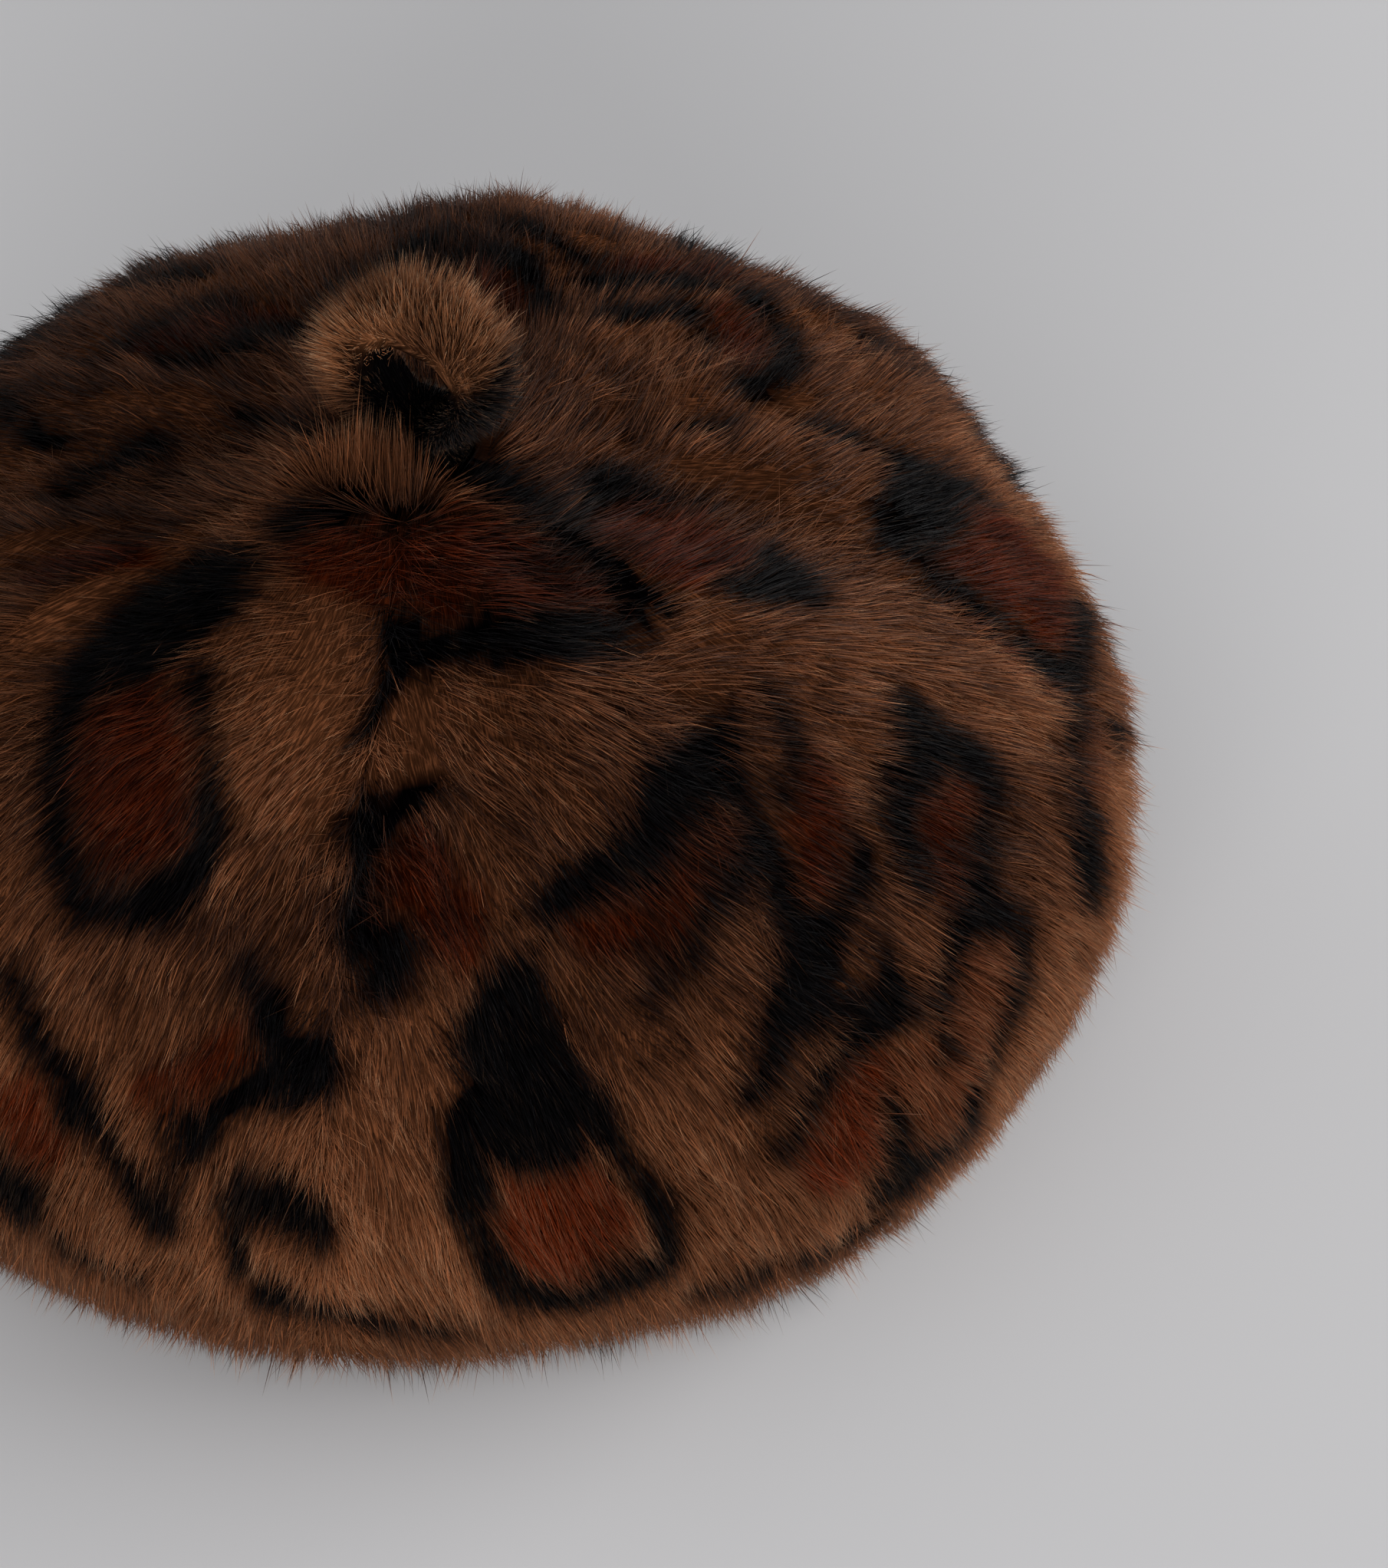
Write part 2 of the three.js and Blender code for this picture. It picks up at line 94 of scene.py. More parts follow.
SEEN = (
    Marking(
        "1a",
        Ink.BLACK,
        (
            (-51.5, 43, 8.4), (-53.0, 49, 16.6), (-53.5, 58, 19.3), (-53.5, 65, 17.1), (-55.0, 73, 11.3),
        ),
    ),
    Marking(
        "1b",
        Ink.BLACK,
        (
            (-54.0, 78, 8.4), (-52.0, 85, 7.5), (-48.5, 91, 6.9), (-44.5, 96, 5.8), (-40.5, 102, 7.1),
            (-37.0, 107, 7.2), (-35.0, 111, 9.3),
        ),
    ),
    Marking(
        "1c",
        Ink.BLACK,
        (
            (-35.0, 111, 8.6), (-30.5, 109, 7.6), (-27.0, 105, 10.8), (-24.5, 99, 8.7), (-24.5, 93, 7.6),
        ),
    ),
    Marking(
        "1d",
        Ink.BLACK,
        (
            (-39.0, 65, 6.7), (-34.5, 71, 4.2), (-30.5, 77, 3.8), (-27.5, 82, 5.0), (-25.0, 88, 6.2),
            (-24.5, 94, 7.8),
        ),
    ),
    Marking("1r", Ink.RUST, ((-44.5, 76, 19.1), (-39.0, 84, 25.3), (-35.0, 92, 23.5), (-31.5, 99, 13.4))),
    Marking(
        "2a",
        Ink.BLACK,
        (
            (-55.0, 31, 5.8), (-43.5, 27, 8.2), (-30.5, 23, 7.4), (-16.5, 20, 6.4), (0.0, 20, 5.7), (10.0, 23, 3.8),
        ),
    ),
    Marking(
        "2b",
        Ink.BLACK,
        (
            (48.0, 10, 8.8), (54.0, 15, 10.2), (57.5, 21, 9.1), (57.5, 26, 6.8), (55.0, 32, 5.0), (52.5, 39, 5.4),
            (52.0, 45, 5.5), (52.5, 50, 5.3), (54.0, 55, 8.0), (54.5, 57, 5.6),
        ),
    ),
    Marking(
        "2c",
        Ink.BLACK,
        (
            (-1.5, 45, 11.3), (6.0, 47, 11.2), (14.5, 47, 11.3), (22.5, 49, 11.9), (30.0, 51, 11.2), (38.0, 52, 8.2),
            (45.0, 55, 6.1), (50.5, 56, 6.1), (55.5, 57, 4.9),
        ),
    ),
    Marking(
        "2r",
        Ink.RUST,
        (
            (-39.5, 34, 7.0), (-27.0, 33, 10.4), (-16.5, 31, 13.0), (0.5, 30, 13.0), (15.0, 33, 15.1),
            (29.0, 35, 18.1), (39.5, 39, 15.7), (46.0, 47, 9.7), (49.0, 51, 5.9),
        ),
    ),
    Marking(
        "3a",
        Ink.BLACK,
        (
            (63.0, 35, 4.7), (73.5, 32, 5.5), (86.5, 34, 6.1), (91.0, 39, 6.4), (90.5, 43, 4.7), (89.0, 48, 2.7),
            (88.0, 53, 3.0), (86.5, 58, 2.2),
        ),
    ),
    Marking("3b", Ink.BLACK, ((81.5, 68, 6.5), (77.0, 71, 12.3), (74.5, 75, 12.2), (74.5, 78, 7.8))),
    Marking("3c", Ink.BLACK, ((74.0, 73, 13.3), (69.5, 69, 8.9), (67.0, 65, 6.3), (65.0, 65, 2.1))),
    Marking(
        "3r",
        Ink.RUST,
        (
            (79.5, 39, 14.5), (73.5, 46, 20.0), (72.0, 53, 20.0), (74.0, 60, 14.4), (75.0, 65, 11.1),
        ),
    ),
    Marking(
        "4a",
        Ink.BLACK,
        (
            (104.0, 99, 13.9), (101.0, 100, 20.3), (96.5, 97, 14.1), (93.0, 93, 13.8), (90.0, 94, 6.2),
        ),
    ),
    Marking("4e", Ink.BLACK, ((104.0, 104, 11.5), (105.0, 112, 7.0), (105.5, 119, 5.9), (105.0, 123, 3.5))),
    Marking(
        "4b",
        Ink.BLACK,
        (
            (89.5, 95, 4.2), (87.5, 101, 5.8), (87.0, 108, 6.2), (86.5, 115, 6.4), (86.0, 120, 9.2),
            (85.5, 127, 7.2), (85.5, 134, 7.4), (84.5, 137, 5.6),
        ),
    ),
    Marking("4c", Ink.BLACK, ((99.0, 150, 7.1), (93.0, 142, 9.4), (88.5, 139, 9.9), (85.5, 138, 6.6))),
    Marking("4r", Ink.RUST, ((98.5, 112, 23.2), (95.0, 117, 37.0), (92.5, 125, 37.0), (90.0, 130, 26.6))),
    Marking(
        "5a",
        Ink.BLACK,
        (
            (47.5, 79, 3.0), (45.5, 82, 6.8), (42.0, 84, 9.9), (38.5, 86, 12.2), (34.0, 90, 12.0), (29.5, 94, 9.7),
            (25.0, 97, 9.7), (21.0, 99, 9.6), (17.0, 102, 9.0), (14.5, 102, 5.6),
        ),
    ),
    Marking(
        "5b",
        Ink.BLACK,
        (
            (43.5, 88, 4.6), (42.5, 94, 3.3), (41.5, 99, 3.9), (40.0, 102, 5.7), (37.0, 105, 5.0), (33.5, 109, 5.3),
            (30.5, 112, 5.0), (27.5, 117, 6.1), (25.0, 120, 4.2), (23.5, 123, 2.7),
        ),
    ),
    Marking(
        "5r",
        Ink.RUST,
        (
            (38.5, 97, 4.7), (33.0, 101, 9.2), (27.5, 105, 13.9), (23.0, 108, 14.0), (20.0, 109, 9.1),
        ),
    ),
    Marking(
        "6a",
        Ink.BLACK,
        (
            (57.0, 81, 2.1), (54.5, 85, 4.0), (52.0, 90, 3.6), (49.5, 94, 3.6), (47.0, 95, 5.9), (45.5, 99, 3.7),
        ),
    ),
    Marking(
        "6b",
        Ink.BLACK,
        (
            (41.5, 101, 5.2), (41.5, 106, 5.6), (40.5, 112, 5.9), (39.5, 117, 5.8), (39.5, 123, 9.9),
        ),
    ),
    Marking(
        "6c",
        Ink.BLACK,
        (
            (50.0, 112, 3.7), (49.5, 116, 6.2), (47.5, 120, 7.3), (45.0, 122, 5.7), (42.5, 124, 8.2),
        ),
    ),
    Marking(
        "6d",
        Ink.BLACK,
        (
            (42.0, 123, 10.8), (40.0, 126, 13.5), (38.0, 130, 14.1), (36.0, 134, 11.7), (33.5, 137, 7.7),
            (31.5, 141, 6.4), (30.0, 145, 5.8),
        ),
    ),
    Marking(
        "6r",
        Ink.RUST,
        (
            (51.0, 95, 5.1), (49.0, 100, 10.8), (47.5, 106, 13.3), (45.5, 112, 15.1), (43.0, 116, 11.1),
            (41.5, 119, 8.0),
        ),
    ),
    Marking(
        "7a",
        Ink.BLACK,
        (
            (66.5, 105, 7.6), (65.0, 109, 11.8), (62.0, 112, 10.7), (59.0, 112, 8.9), (56.0, 114, 8.4),
            (54.5, 117, 4.7), (54.0, 122, 6.1), (53.0, 127, 6.3), (52.5, 130, 2.6),
        ),
    ),
    Marking(
        "7b",
        Ink.BLACK,
        (
            (65.5, 112, 11.0), (66.5, 117, 7.6), (67.5, 122, 6.0), (67.0, 127, 6.8), (65.0, 129, 5.0),
            (62.5, 131, 6.2), (60.5, 134, 6.9), (58.0, 136, 9.6), (56.0, 138, 9.6),
        ),
    ),
    Marking("7c", Ink.BLACK, ((54.5, 138, 6.9), (57.0, 142, 7.6), (60.0, 146, 6.3), (61.5, 147, 2.7))),
    Marking(
        "7d",
        Ink.BLACK,
        (
            (55.0, 141, 10.3), (53.0, 143, 9.1), (50.5, 145, 7.6), (48.0, 147, 7.0), (46.5, 147, 3.5),
        ),
    ),
    Marking(
        "7r",
        Ink.RUST,
        (
            (62.0, 117, 5.7), (62.5, 121, 13.9), (60.0, 125, 17.5), (57.0, 127, 13.5), (55.5, 132, 6.8),
        ),
    ),
    Marking(
        "8a",
        Ink.BLACK,
        (
            (46.5, 132, 5.5), (45.5, 136, 7.8), (44.0, 140, 11.2), (42.5, 142, 13.4), (40.5, 144, 9.2),
            (38.0, 146, 5.7), (36.0, 149, 7.0), (34.0, 152, 7.2), (32.0, 156, 7.2), (31.0, 159, 4.3),
        ),
    ),
    Marking(
        "8b",
        Ink.BLACK,
        (
            (61.0, 150, 5.3), (60.5, 155, 6.4), (58.5, 159, 7.1), (56.0, 162, 7.1), (54.0, 165, 6.7),
            (52.5, 170, 5.6), (50.5, 173, 6.7), (49.0, 178, 7.8),
        ),
    ),
    Marking(
        "8c",
        Ink.BLACK,
        (
            (41.5, 159, 3.1), (41.5, 165, 5.1), (41.5, 171, 4.9), (42.5, 178, 12.2), (41.5, 184, 11.2),
        ),
    ),
    Marking(
        "8d",
        Ink.BLACK,
        (
            (49.5, 183, 7.9), (47.0, 182, 10.1), (44.0, 181, 11.2), (42.0, 182, 11.2), (41.0, 186, 8.9),
        ),
    ),
    Marking("8e", Ink.BLACK, ((49.0, 157, 5.5), (47.5, 158, 4.3))),
    Marking("8r", Ink.RUST, ((41.5, 151, 8.5), (39.5, 156, 14.1), (37.5, 162, 20.6), (36.0, 166, 18.2))),
    Marking("8g", Ink.DULL, ((55.0, 152, 15.5), (50.5, 158, 19.8), (46.5, 164, 22.7))),
    Marking(
        "9a",
        Ink.BLACK,
        (
            (10.5, 116, 11.1), (10.0, 122, 16.8), (10.0, 130, 19.6), (10.5, 138, 22.8), (11.0, 141, 21.9),
        ),
    ),
    Marking(
        "9b",
        Ink.BLACK,
        (
            (5.0, 140, 7.1), (4.5, 147, 6.4), (5.0, 155, 6.6), (5.5, 163, 5.6), (7.0, 172, 8.1), (8.0, 178, 8.5),
        ),
    ),
    Marking(
        "9c",
        Ink.BLACK,
        (
            (15.0, 134, 6.6), (16.5, 140, 5.1), (17.5, 147, 4.1), (19.0, 155, 4.7), (20.5, 163, 6.9),
            (21.0, 170, 7.4), (20.0, 177, 10.8), (17.0, 182, 11.8), (13.5, 185, 10.7), (10.0, 183, 11.6),
        ),
    ),
    Marking("9r", Ink.RUST, ((10.5, 150, 13.6), (11.5, 157, 20.4), (12.0, 166, 24.6), (12.5, 172, 18.0))),
    Marking("10s", Ink.BLACK, ((0.0, 48, 9.1), (-4.5, 52, 5.4), (-7.5, 59, 4.0), (-9.5, 65, 3.6), (-10.5, 69, 2.5))),
    Marking(
        "10a",
        Ink.BLACK,
        (
            (-10.5, 86, 2.9), (-8.0, 84, 5.7), (-4.5, 81, 7.9), (-0.5, 79, 5.8), (4.0, 78, 4.5), (7.0, 78, 2.6),
        ),
    ),
    Marking("10c", Ink.BLACK, ((-6.0, 86, 4.2), (-5.5, 93, 3.0), (-5.0, 99, 3.3))),
    Marking(
        "10b",
        Ink.BLACK,
        (
            (-5.0, 102, 6.2), (-3.0, 106, 9.1), (-2.0, 109, 11.3), (-4.5, 114, 5.6), (-6.0, 117, 2.5),
        ),
    ),
    Marking("10d", Ink.BLACK, ((-2.0, 109, 11.1), (1.0, 111, 6.4), (2.0, 110, 2.6))),
    Marking("10r", Ink.RUST, ((-0.5, 86, 10.5), (1.0, 93, 15.5), (3.5, 99, 16.0), (5.0, 105, 10.6))),
    Marking(
        "11a",
        Ink.BLACK,
        (
            (-18.0, 112, 5.1), (-15.0, 116, 7.1), (-12.5, 121, 8.6), (-9.5, 126, 10.7), (-8.0, 131, 9.1),
        ),
    ),
    Marking(
        "11b",
        Ink.BLACK,
        (
            (-9.0, 131, 9.4), (-12.5, 133, 8.8), (-15.5, 137, 7.4), (-18.0, 142, 9.5), (-18.5, 148, 8.8),
            (-18.0, 152, 5.2),
        ),
    ),
    Marking("11r", Ink.RUST, ((-14.0, 122, 4.2), (-15.0, 127, 9.9), (-18.0, 132, 9.9), (-21.5, 138, 8.7))),
    Marking(
        "12a",
        Ink.BLACK,
        (
            (-38.0, 129, 6.3), (-35.5, 132, 7.0), (-32.5, 138, 9.1), (-29.5, 143, 9.2), (-27.5, 149, 8.6),
        ),
    ),
    Marking("12r", Ink.RUST, ((-33.5, 151, 13.6), (-31.5, 155, 10.0))),
    Marking("13a", Ink.BLACK, ((-25.5, 152, 7.0), (-23.5, 156, 8.5), (-21.0, 160, 11.3), (-20.0, 165, 9.3))),
    Marking("13b", Ink.BLACK, ((-13.0, 152, 7.0), (-11.5, 155, 11.2), (-9.0, 159, 11.1), (-7.5, 164, 7.4))),
    Marking("13c", Ink.BLACK, ((-15.0, 156, 4.6), (-14.5, 164, 5.3), (-14.0, 174, 7.8))),
    Marking("13d", Ink.BLACK, ((-29.0, 181, 8.4), (-26.5, 182, 8.8), (-23.5, 184, 6.6))),
    Marking("14a", Ink.BLACK, ((-33.0, 166, 10.8), (-33.0, 173, 11.3))),
    Marking(
        "14b",
        Ink.BLACK,
        (
            (-11.0, 181, 9.2), (-8.0, 187, 9.9), (-5.0, 189, 7.7), (0.0, 189, 5.5), (3.5, 192, 5.5),
        ),
    ),
    Marking("14c", Ink.BLACK, ((40.5, 198, 6.8), (36.5, 198, 7.9), (33.5, 197, 6.7))),
    Marking("14d", Ink.BLACK, ((29.0, 192, 5.6), (26.5, 194, 5.6), (24.0, 194, 5.0))),
    Marking("15a", Ink.BLACK, ((-143.5, 111, 6.1), (-145.0, 101, 6.0), (-147.5, 94, 5.4), (-151.0, 92, 4.2))),
    Marking(
        "15b",
        Ink.BLACK,
        (
            (-124.5, 85, 4.7), (-127.0, 82, 5.9), (-133.0, 79, 4.7), (-139.0, 79, 5.3), (-144.0, 78, 5.3),
            (-148.0, 73, 3.5),
        ),
    ),
    Marking(
        "15c",
        Ink.BLACK,
        (
            (-127.5, 68, 4.1), (-130.0, 61, 5.2), (-136.0, 58, 7.0), (-143.0, 57, 8.1), (-147.5, 54, 9.7),
            (-152.0, 50, 8.5),
        ),
    ),
    Marking("15d", Ink.BLACK, ((-129.0, 118, 6.0), (-130.0, 113, 5.4), (-131.0, 108, 4.2))),
    Marking("15r", Ink.RUST, ((-129.5, 75, 5.8), (-135.5, 69, 8.2), (-143.5, 68, 7.9), (-149.5, 60, 5.8))),
    Marking("16a", Ink.BLACK, ((-117.5, 98, 5.7), (-111.0, 88, 5.0), (-108.0, 81, 5.6), (-107.0, 75, 4.3))),
    Marking(
        "16b",
        Ink.BLACK,
        (
            (-108.0, 54, 5.5), (-106.0, 58, 9.2), (-103.5, 62, 9.3), (-100.5, 66, 5.0), (-98.0, 70, 5.8),
            (-94.5, 73, 4.5),
        ),
    ),
    Marking(
        "16c",
        Ink.BLACK,
        (
            (-115.5, 41, 3.0), (-114.5, 34, 2.5), (-112.5, 27, 3.3), (-99.5, 20, 4.3), (-84.5, 17, 2.8),
        ),
    ),
    Marking("16r", Ink.RUST, ((-76.5, 75, 6.4), (-75.0, 68, 8.0), (-73.0, 60, 6.2), (-71.5, 54, 3.9))),
    Marking(
        "17a",
        Ink.BLACK,
        (
            (-159.5, 60, 5.9), (-165.0, 65, 8.2), (-171.0, 70, 8.3), (-175.5, 75, 8.3), (-179.0, 80, 7.2),
            (177.5, 85, 4.8),
        ),
    ),
    Marking("17b", Ink.BLACK, ((172.5, 91, 4.8), (168.5, 89, 6.6), (164.5, 86, 7.2), (160.5, 86, 6.0))),
    Marking(
        "17c",
        Ink.BLACK,
        (
            (-180.0, 64, 4.7), (176.0, 71, 5.6), (171.5, 75, 8.3), (167.0, 72, 8.3), (162.5, 66, 6.5),
            (158.5, 60, 6.5),
        ),
    ),
    Marking("17r", Ink.RUST, ((170.0, 65, 7.3), (163.0, 59, 8.2))),
    Marking(
        "18a",
        Ink.BLACK,
        (
            (157.5, 79, 7.2), (154.0, 78, 9.5), (150.0, 83, 7.2), (146.5, 89, 6.0), (142.5, 95, 5.4),
            (139.0, 100, 5.4),
        ),
    ),
    Marking(
        "18b",
        Ink.BLACK,
        (
            (138.0, 98, 7.2), (133.5, 94, 8.6), (130.0, 93, 7.6), (125.5, 89, 6.3), (120.5, 80, 7.0),
            (119.0, 74, 8.1), (118.0, 69, 4.6),
        ),
    ),
    Marking("18c", Ink.BLACK, ((143.0, 80, 5.9), (139.5, 78, 8.3), (134.5, 75, 5.7), (130.5, 73, 3.6))),
    Marking("18d", Ink.BLACK, ((147.5, 60, 4.7), (146.0, 64, 8.2), (144.0, 69, 7.1), (142.5, 74, 4.7))),
    Marking("18e", Ink.BLACK, ((138.0, 114, 4.2), (136.5, 118, 2.0), (133.0, 116, 4.2))),
    Marking("18f", Ink.BLACK, ((130.0, 116, 3.6), (129.0, 121, 4.2), (127.0, 125, 4.2), (124.5, 125, 3.6))),
    Marking("18r", Ink.RUST, ((156.0, 86, 6.0), (152.0, 93, 7.2), (148.0, 100, 6.0), (144.5, 108, 4.9))),
    Marking("18q", Ink.RUST, ((135.5, 84, 10.3), (131.0, 82, 11.1), (127.0, 80, 9.0))),
    Marking("19a", Ink.BLACK, ((110.5, 55, 5.0), (111.0, 60, 4.4), (111.0, 65, 2.8))),
    Marking("19b", Ink.BLACK, ((110.0, 84, 6.6), (109.5, 88, 6.9), (108.5, 92, 4.0), (108.0, 97, 2.9))),
    Marking(
        "20a",
        Ink.BLACK,
        (
            (84.5, 136, 7.9), (83.5, 142, 8.1), (79.5, 142, 8.0), (76.0, 142, 6.4), (74.0, 147, 6.5),
            (73.0, 152, 11.4), (72.0, 158, 13.7), (71.0, 163, 9.2),
        ),
    ),
    Marking("20b", Ink.BLACK, ((87.0, 155, 5.3), (86.0, 160, 5.3))),
    Marking("20g", Ink.DULL, ((83.5, 147, 10.4), (78.5, 148, 11.5))),
)

UNSEEN = (
    Repeat(("9",), 112.0),
    Repeat(("11",), 88.0, 40.0, True),
    Repeat(("13",), 129.0, 22.0, True),
    Repeat(("1",), 205.0, 75.0),
    Repeat(("5",), -193.0, 40.0),
    Repeat(("13",), -150.0, 18.0),
    Repeat(("11",), -134.0, 45.0),
    Repeat(("4",), -35.0, 35.0, True),
    Repeat(("7",), -164.0, 5.0),
    Repeat(("8",), -146.0, 24.0),
    Repeat(("6",), -25.0, 12.0, True),
    Repeat(("10",), -64.0, 62.0),
    Repeat(("13a",), -25.0, 15.0),
)

SHOWN_AZIMUTH = (
    -180, -170, -150, -130, -120, -110, -90, -70, -60, -50, -40, -32, 60, 70, 80, 100, 110, 130, 140, 150, 165, 180,
)
SHOWN_ALONG = (
    112, 105, 113, 122, 104, 90, 80, 82, 88, 100, 122, 208, 208, 195, 165, 160, 140, 138, 118, 113, 106, 112,
)


class Wave:
    """Smooth seeded variation through space, made of plane waves that add up."""

    def __init__(self, seed: int, wavelength: float, count: int = 14) -> None:
        """Draws the waves.

        Args:
            seed: seed of the random draw.
            wavelength: middle wavelength, in metres.
            count: number of waves.
        """
        rng = np.random.default_rng(seed)
        heading = rng.normal(size=(count, 3))
        heading /= np.linalg.norm(heading, axis=1, keepdims=True)
        self.heading = heading * (math.tau / wavelength / rng.uniform(0.7, 1.5, (count, 1)))
        self.phase = rng.uniform(0, math.tau, count)
        self.scale = math.sqrt(2 / count)

    def at(self, points: np.ndarray) -> np.ndarray:
        """Reads the variation.

        Args:
            points: places, one row each.

        Returns:
            One value for each place, about -2 to 2.
        """
        return np.sin(points @ self.heading.T + self.phase).sum(axis=1) * self.scale


def smooth_between(value: np.ndarray, low: float, high: float) -> np.ndarray:
    """Gives 0 below low, 1 above high and a smooth ramp between them."""
    share = np.clip((value - low) / (high - low), 0, 1)
    return share * share * (3 - 2 * share)


def unit(vectors: np.ndarray) -> np.ndarray:
    """Gives the vectors a length of 1."""
    return vectors / np.maximum(np.linalg.norm(vectors, axis=-1, keepdims=True), 1e-12)


def turned(vectors: np.ndarray, towards: np.ndarray, angle: np.ndarray) -> np.ndarray:
    """Turns unit vectors by an angle towards others that are square to them."""
    return vectors * np.cos(angle)[:, None] + towards * np.sin(angle)[:, None]


@dataclass(frozen=True)
class GoreShare:
    """A gore's reach as a share of the crown's radius, at its first seam and at its belly."""

    seam: float
    belly: float


@dataclass(frozen=True)
class Fold:
    """A dent or swell of the crown, sized as shares of the crown's radius and height."""

    azimuth: float
    reach: float
    depth: float
    along: float
    across: float


@dataclass(frozen=True)
class CrownForm:
    """The crown's outer form, the same as in the CAD part.

    A place on it is an azimuth in radians from the front (-Y) towards +X, and a share of the way
    from the crown's middle, over the rim, to the foot of its profile.
    """

    rim_radius: float = 0.135
    rim_height: float = 0.042
    crown_height: float = 0.124
    dome_fullness: float = 2.25
    dome_rise: float = 1.76
    crown_peak: float = 0.006
    crown_peak_radius: float = 0.034
    foot_radius: float = 0.114
    hem_height: float = 0.009
    seam_dip: float = 0.003
    seam_dip_width: float = 0.008
    hole_radius: float = 0.0126
    front_seam: float = math.radians(-7.4)
    middle: tuple[float, float, float] = (-0.0001996, -0.0042718, 0.0)
    gores: tuple[GoreShare, ...] = (
        GoreShare(0.968, 0.956),
        GoreShare(0.996, 1.0),
        GoreShare(1.02, 1.004),
        GoreShare(1.002, 1.034),
        GoreShare(1.032, 1.004),
        GoreShare(1.008, 1.0),
        GoreShare(1.018, 1.0),
        GoreShare(1.018, 0.986),
    )
    folds: tuple[Fold, ...] = (
        Fold(-30, 0.17, 0.045, 0.1, 0.16),
        Fold(150, 0.18, 0.02, 0.1, 0.2),
        Fold(-8, 0.4, -0.03, 0.2, 0.1),
        Fold(22, 0.42, 0.025, 0.24, 0.16),
        Fold(-42, 0.44, 0.025, 0.26, 0.18),
        Fold(62, 0.52, 0.02, 0.22, 0.12),
        Fold(84, 0.38, -0.025, 0.24, 0.11),
        Fold(-97, 0.4, -0.03, 0.26, 0.12),
        Fold(150, 0.5, -0.02, 0.2, 0.14),
        Fold(130, 0.88, 0.045, 0.3, 0.14),
        Fold(173, 0.8, 0.04, 0.3, 0.12),
        Fold(-144, 0.84, 0.025, 0.3, 0.12),
    )
    profile: dict[str, np.ndarray] = field(init=False, repr=False)

    def __post_init__(self) -> None:
        """Walks the profile once and keeps its radius and height by share."""
        t = np.linspace(0, 1, 4001)
        upper = t <= 0.5
        angle = np.where(upper, 2 * t, 2 * t - 1) * math.pi / 2
        turn_in = self.rim_radius - self.foot_radius
        radius = np.where(
            upper,
            self.rim_radius * np.sin(angle) ** (2 / self.dome_fullness),
            self.foot_radius + turn_in * np.cos(angle),
        )
        dome = (self.crown_height - self.rim_height) * np.clip(np.cos(angle), 0, 1) ** (2 / self.dome_rise)
        height = np.where(upper, self.rim_height + dome, self.rim_height * (1 - np.sin(angle)))
        height = height + np.where(upper, self.crown_peak * np.exp(-((radius / self.crown_peak_radius) ** 2)), 0)
        walked = np.concatenate([[0], np.cumsum(np.hypot(np.diff(radius), np.diff(height)))])
        share = walked / walked[-1]
        object.__setattr__(self, "profile", {"share": share, "radius": radius, "height": height})
        object.__setattr__(self, "length", float(walked[-1]))
        object.__setattr__(self, "top", float(np.interp(self.hole_radius, radius[upper], share[upper])))
        object.__setattr__(self, "rim", float(share[np.argmax(height <= self.rim_height + 1e-9)]))
        object.__setattr__(self, "hem", float(np.interp(-self.hem_height, -height[~upper], share[~upper])))
        knots = np.array([value for gore in self.gores for value in (gore.seam, gore.belly)])
        object.__setattr__(self, "knots", knots)

    @property
    def gore_angle(self) -> float:
        """Angle that one gore takes around the crown, in radians."""
        return math.tau / len(self.gores)

    def outline(self, share: np.ndarray) -> tuple[np.ndarray, np.ndarray]:
        """Gives the profile's radius and height at a share of the way."""
        share = np.clip(share, 0, 1)
        known = self.profile["share"]
        return np.interp(share, known, self.profile["radius"]), np.interp(share, known, self.profile["height"])

    def reach(self, azimuth: np.ndarray) -> np.ndarray:
        """Gives the share of the radius at an azimuth, as a smooth curve through the gores."""
        place = (azimuth - self.front_seam) / math.tau * len(self.knots)
        first = np.floor(place).astype(int)
        f = place - first
        before, here, after, beyond = (self.knots[(first + step) % len(self.knots)] for step in (-1, 0, 1, 2))
        rise_here, rise_after = (after - before) / 2, (beyond - here) / 2
        return (
            (2 * f**3 - 3 * f**2 + 1) * here
            + (f**3 - 2 * f**2 + f) * rise_here
            + (3 * f**2 - 2 * f**3) * after
            + (f**3 - f**2) * rise_after
        )

    def even_point(self, azimuth: np.ndarray, share: np.ndarray) -> np.ndarray:
        """Gives the place on the form before its seams and folds are pressed in."""
        radius, height = self.outline(share)
        radius = radius * self.reach(azimuth)
        return np.stack([radius * np.sin(azimuth), -radius * np.cos(azimuth), height + 0 * azimuth], axis=-1)

    def directions(self, azimuth: np.ndarray, share: np.ndarray) -> tuple[np.ndarray, np.ndarray, np.ndarray]:
        """Gives the unit directions down the cloth, around the crown, and out of the cloth."""
        step = 1e-3
        down = self.even_point(azimuth, share + step) - self.even_point(azimuth, share - step)
        around = self.even_point(azimuth + step, share) - self.even_point(azimuth - step, share)
        return unit(down), unit(around), unit(np.cross(down, around))

    def from_seam(self, azimuth: np.ndarray, share: np.ndarray) -> np.ndarray:
        """Gives the signed distance to the nearest seam, in metres."""
        radius, _ = self.outline(share)
        turns = (azimuth - self.front_seam) / self.gore_angle
        return (turns - np.round(turns)) * self.gore_angle * radius

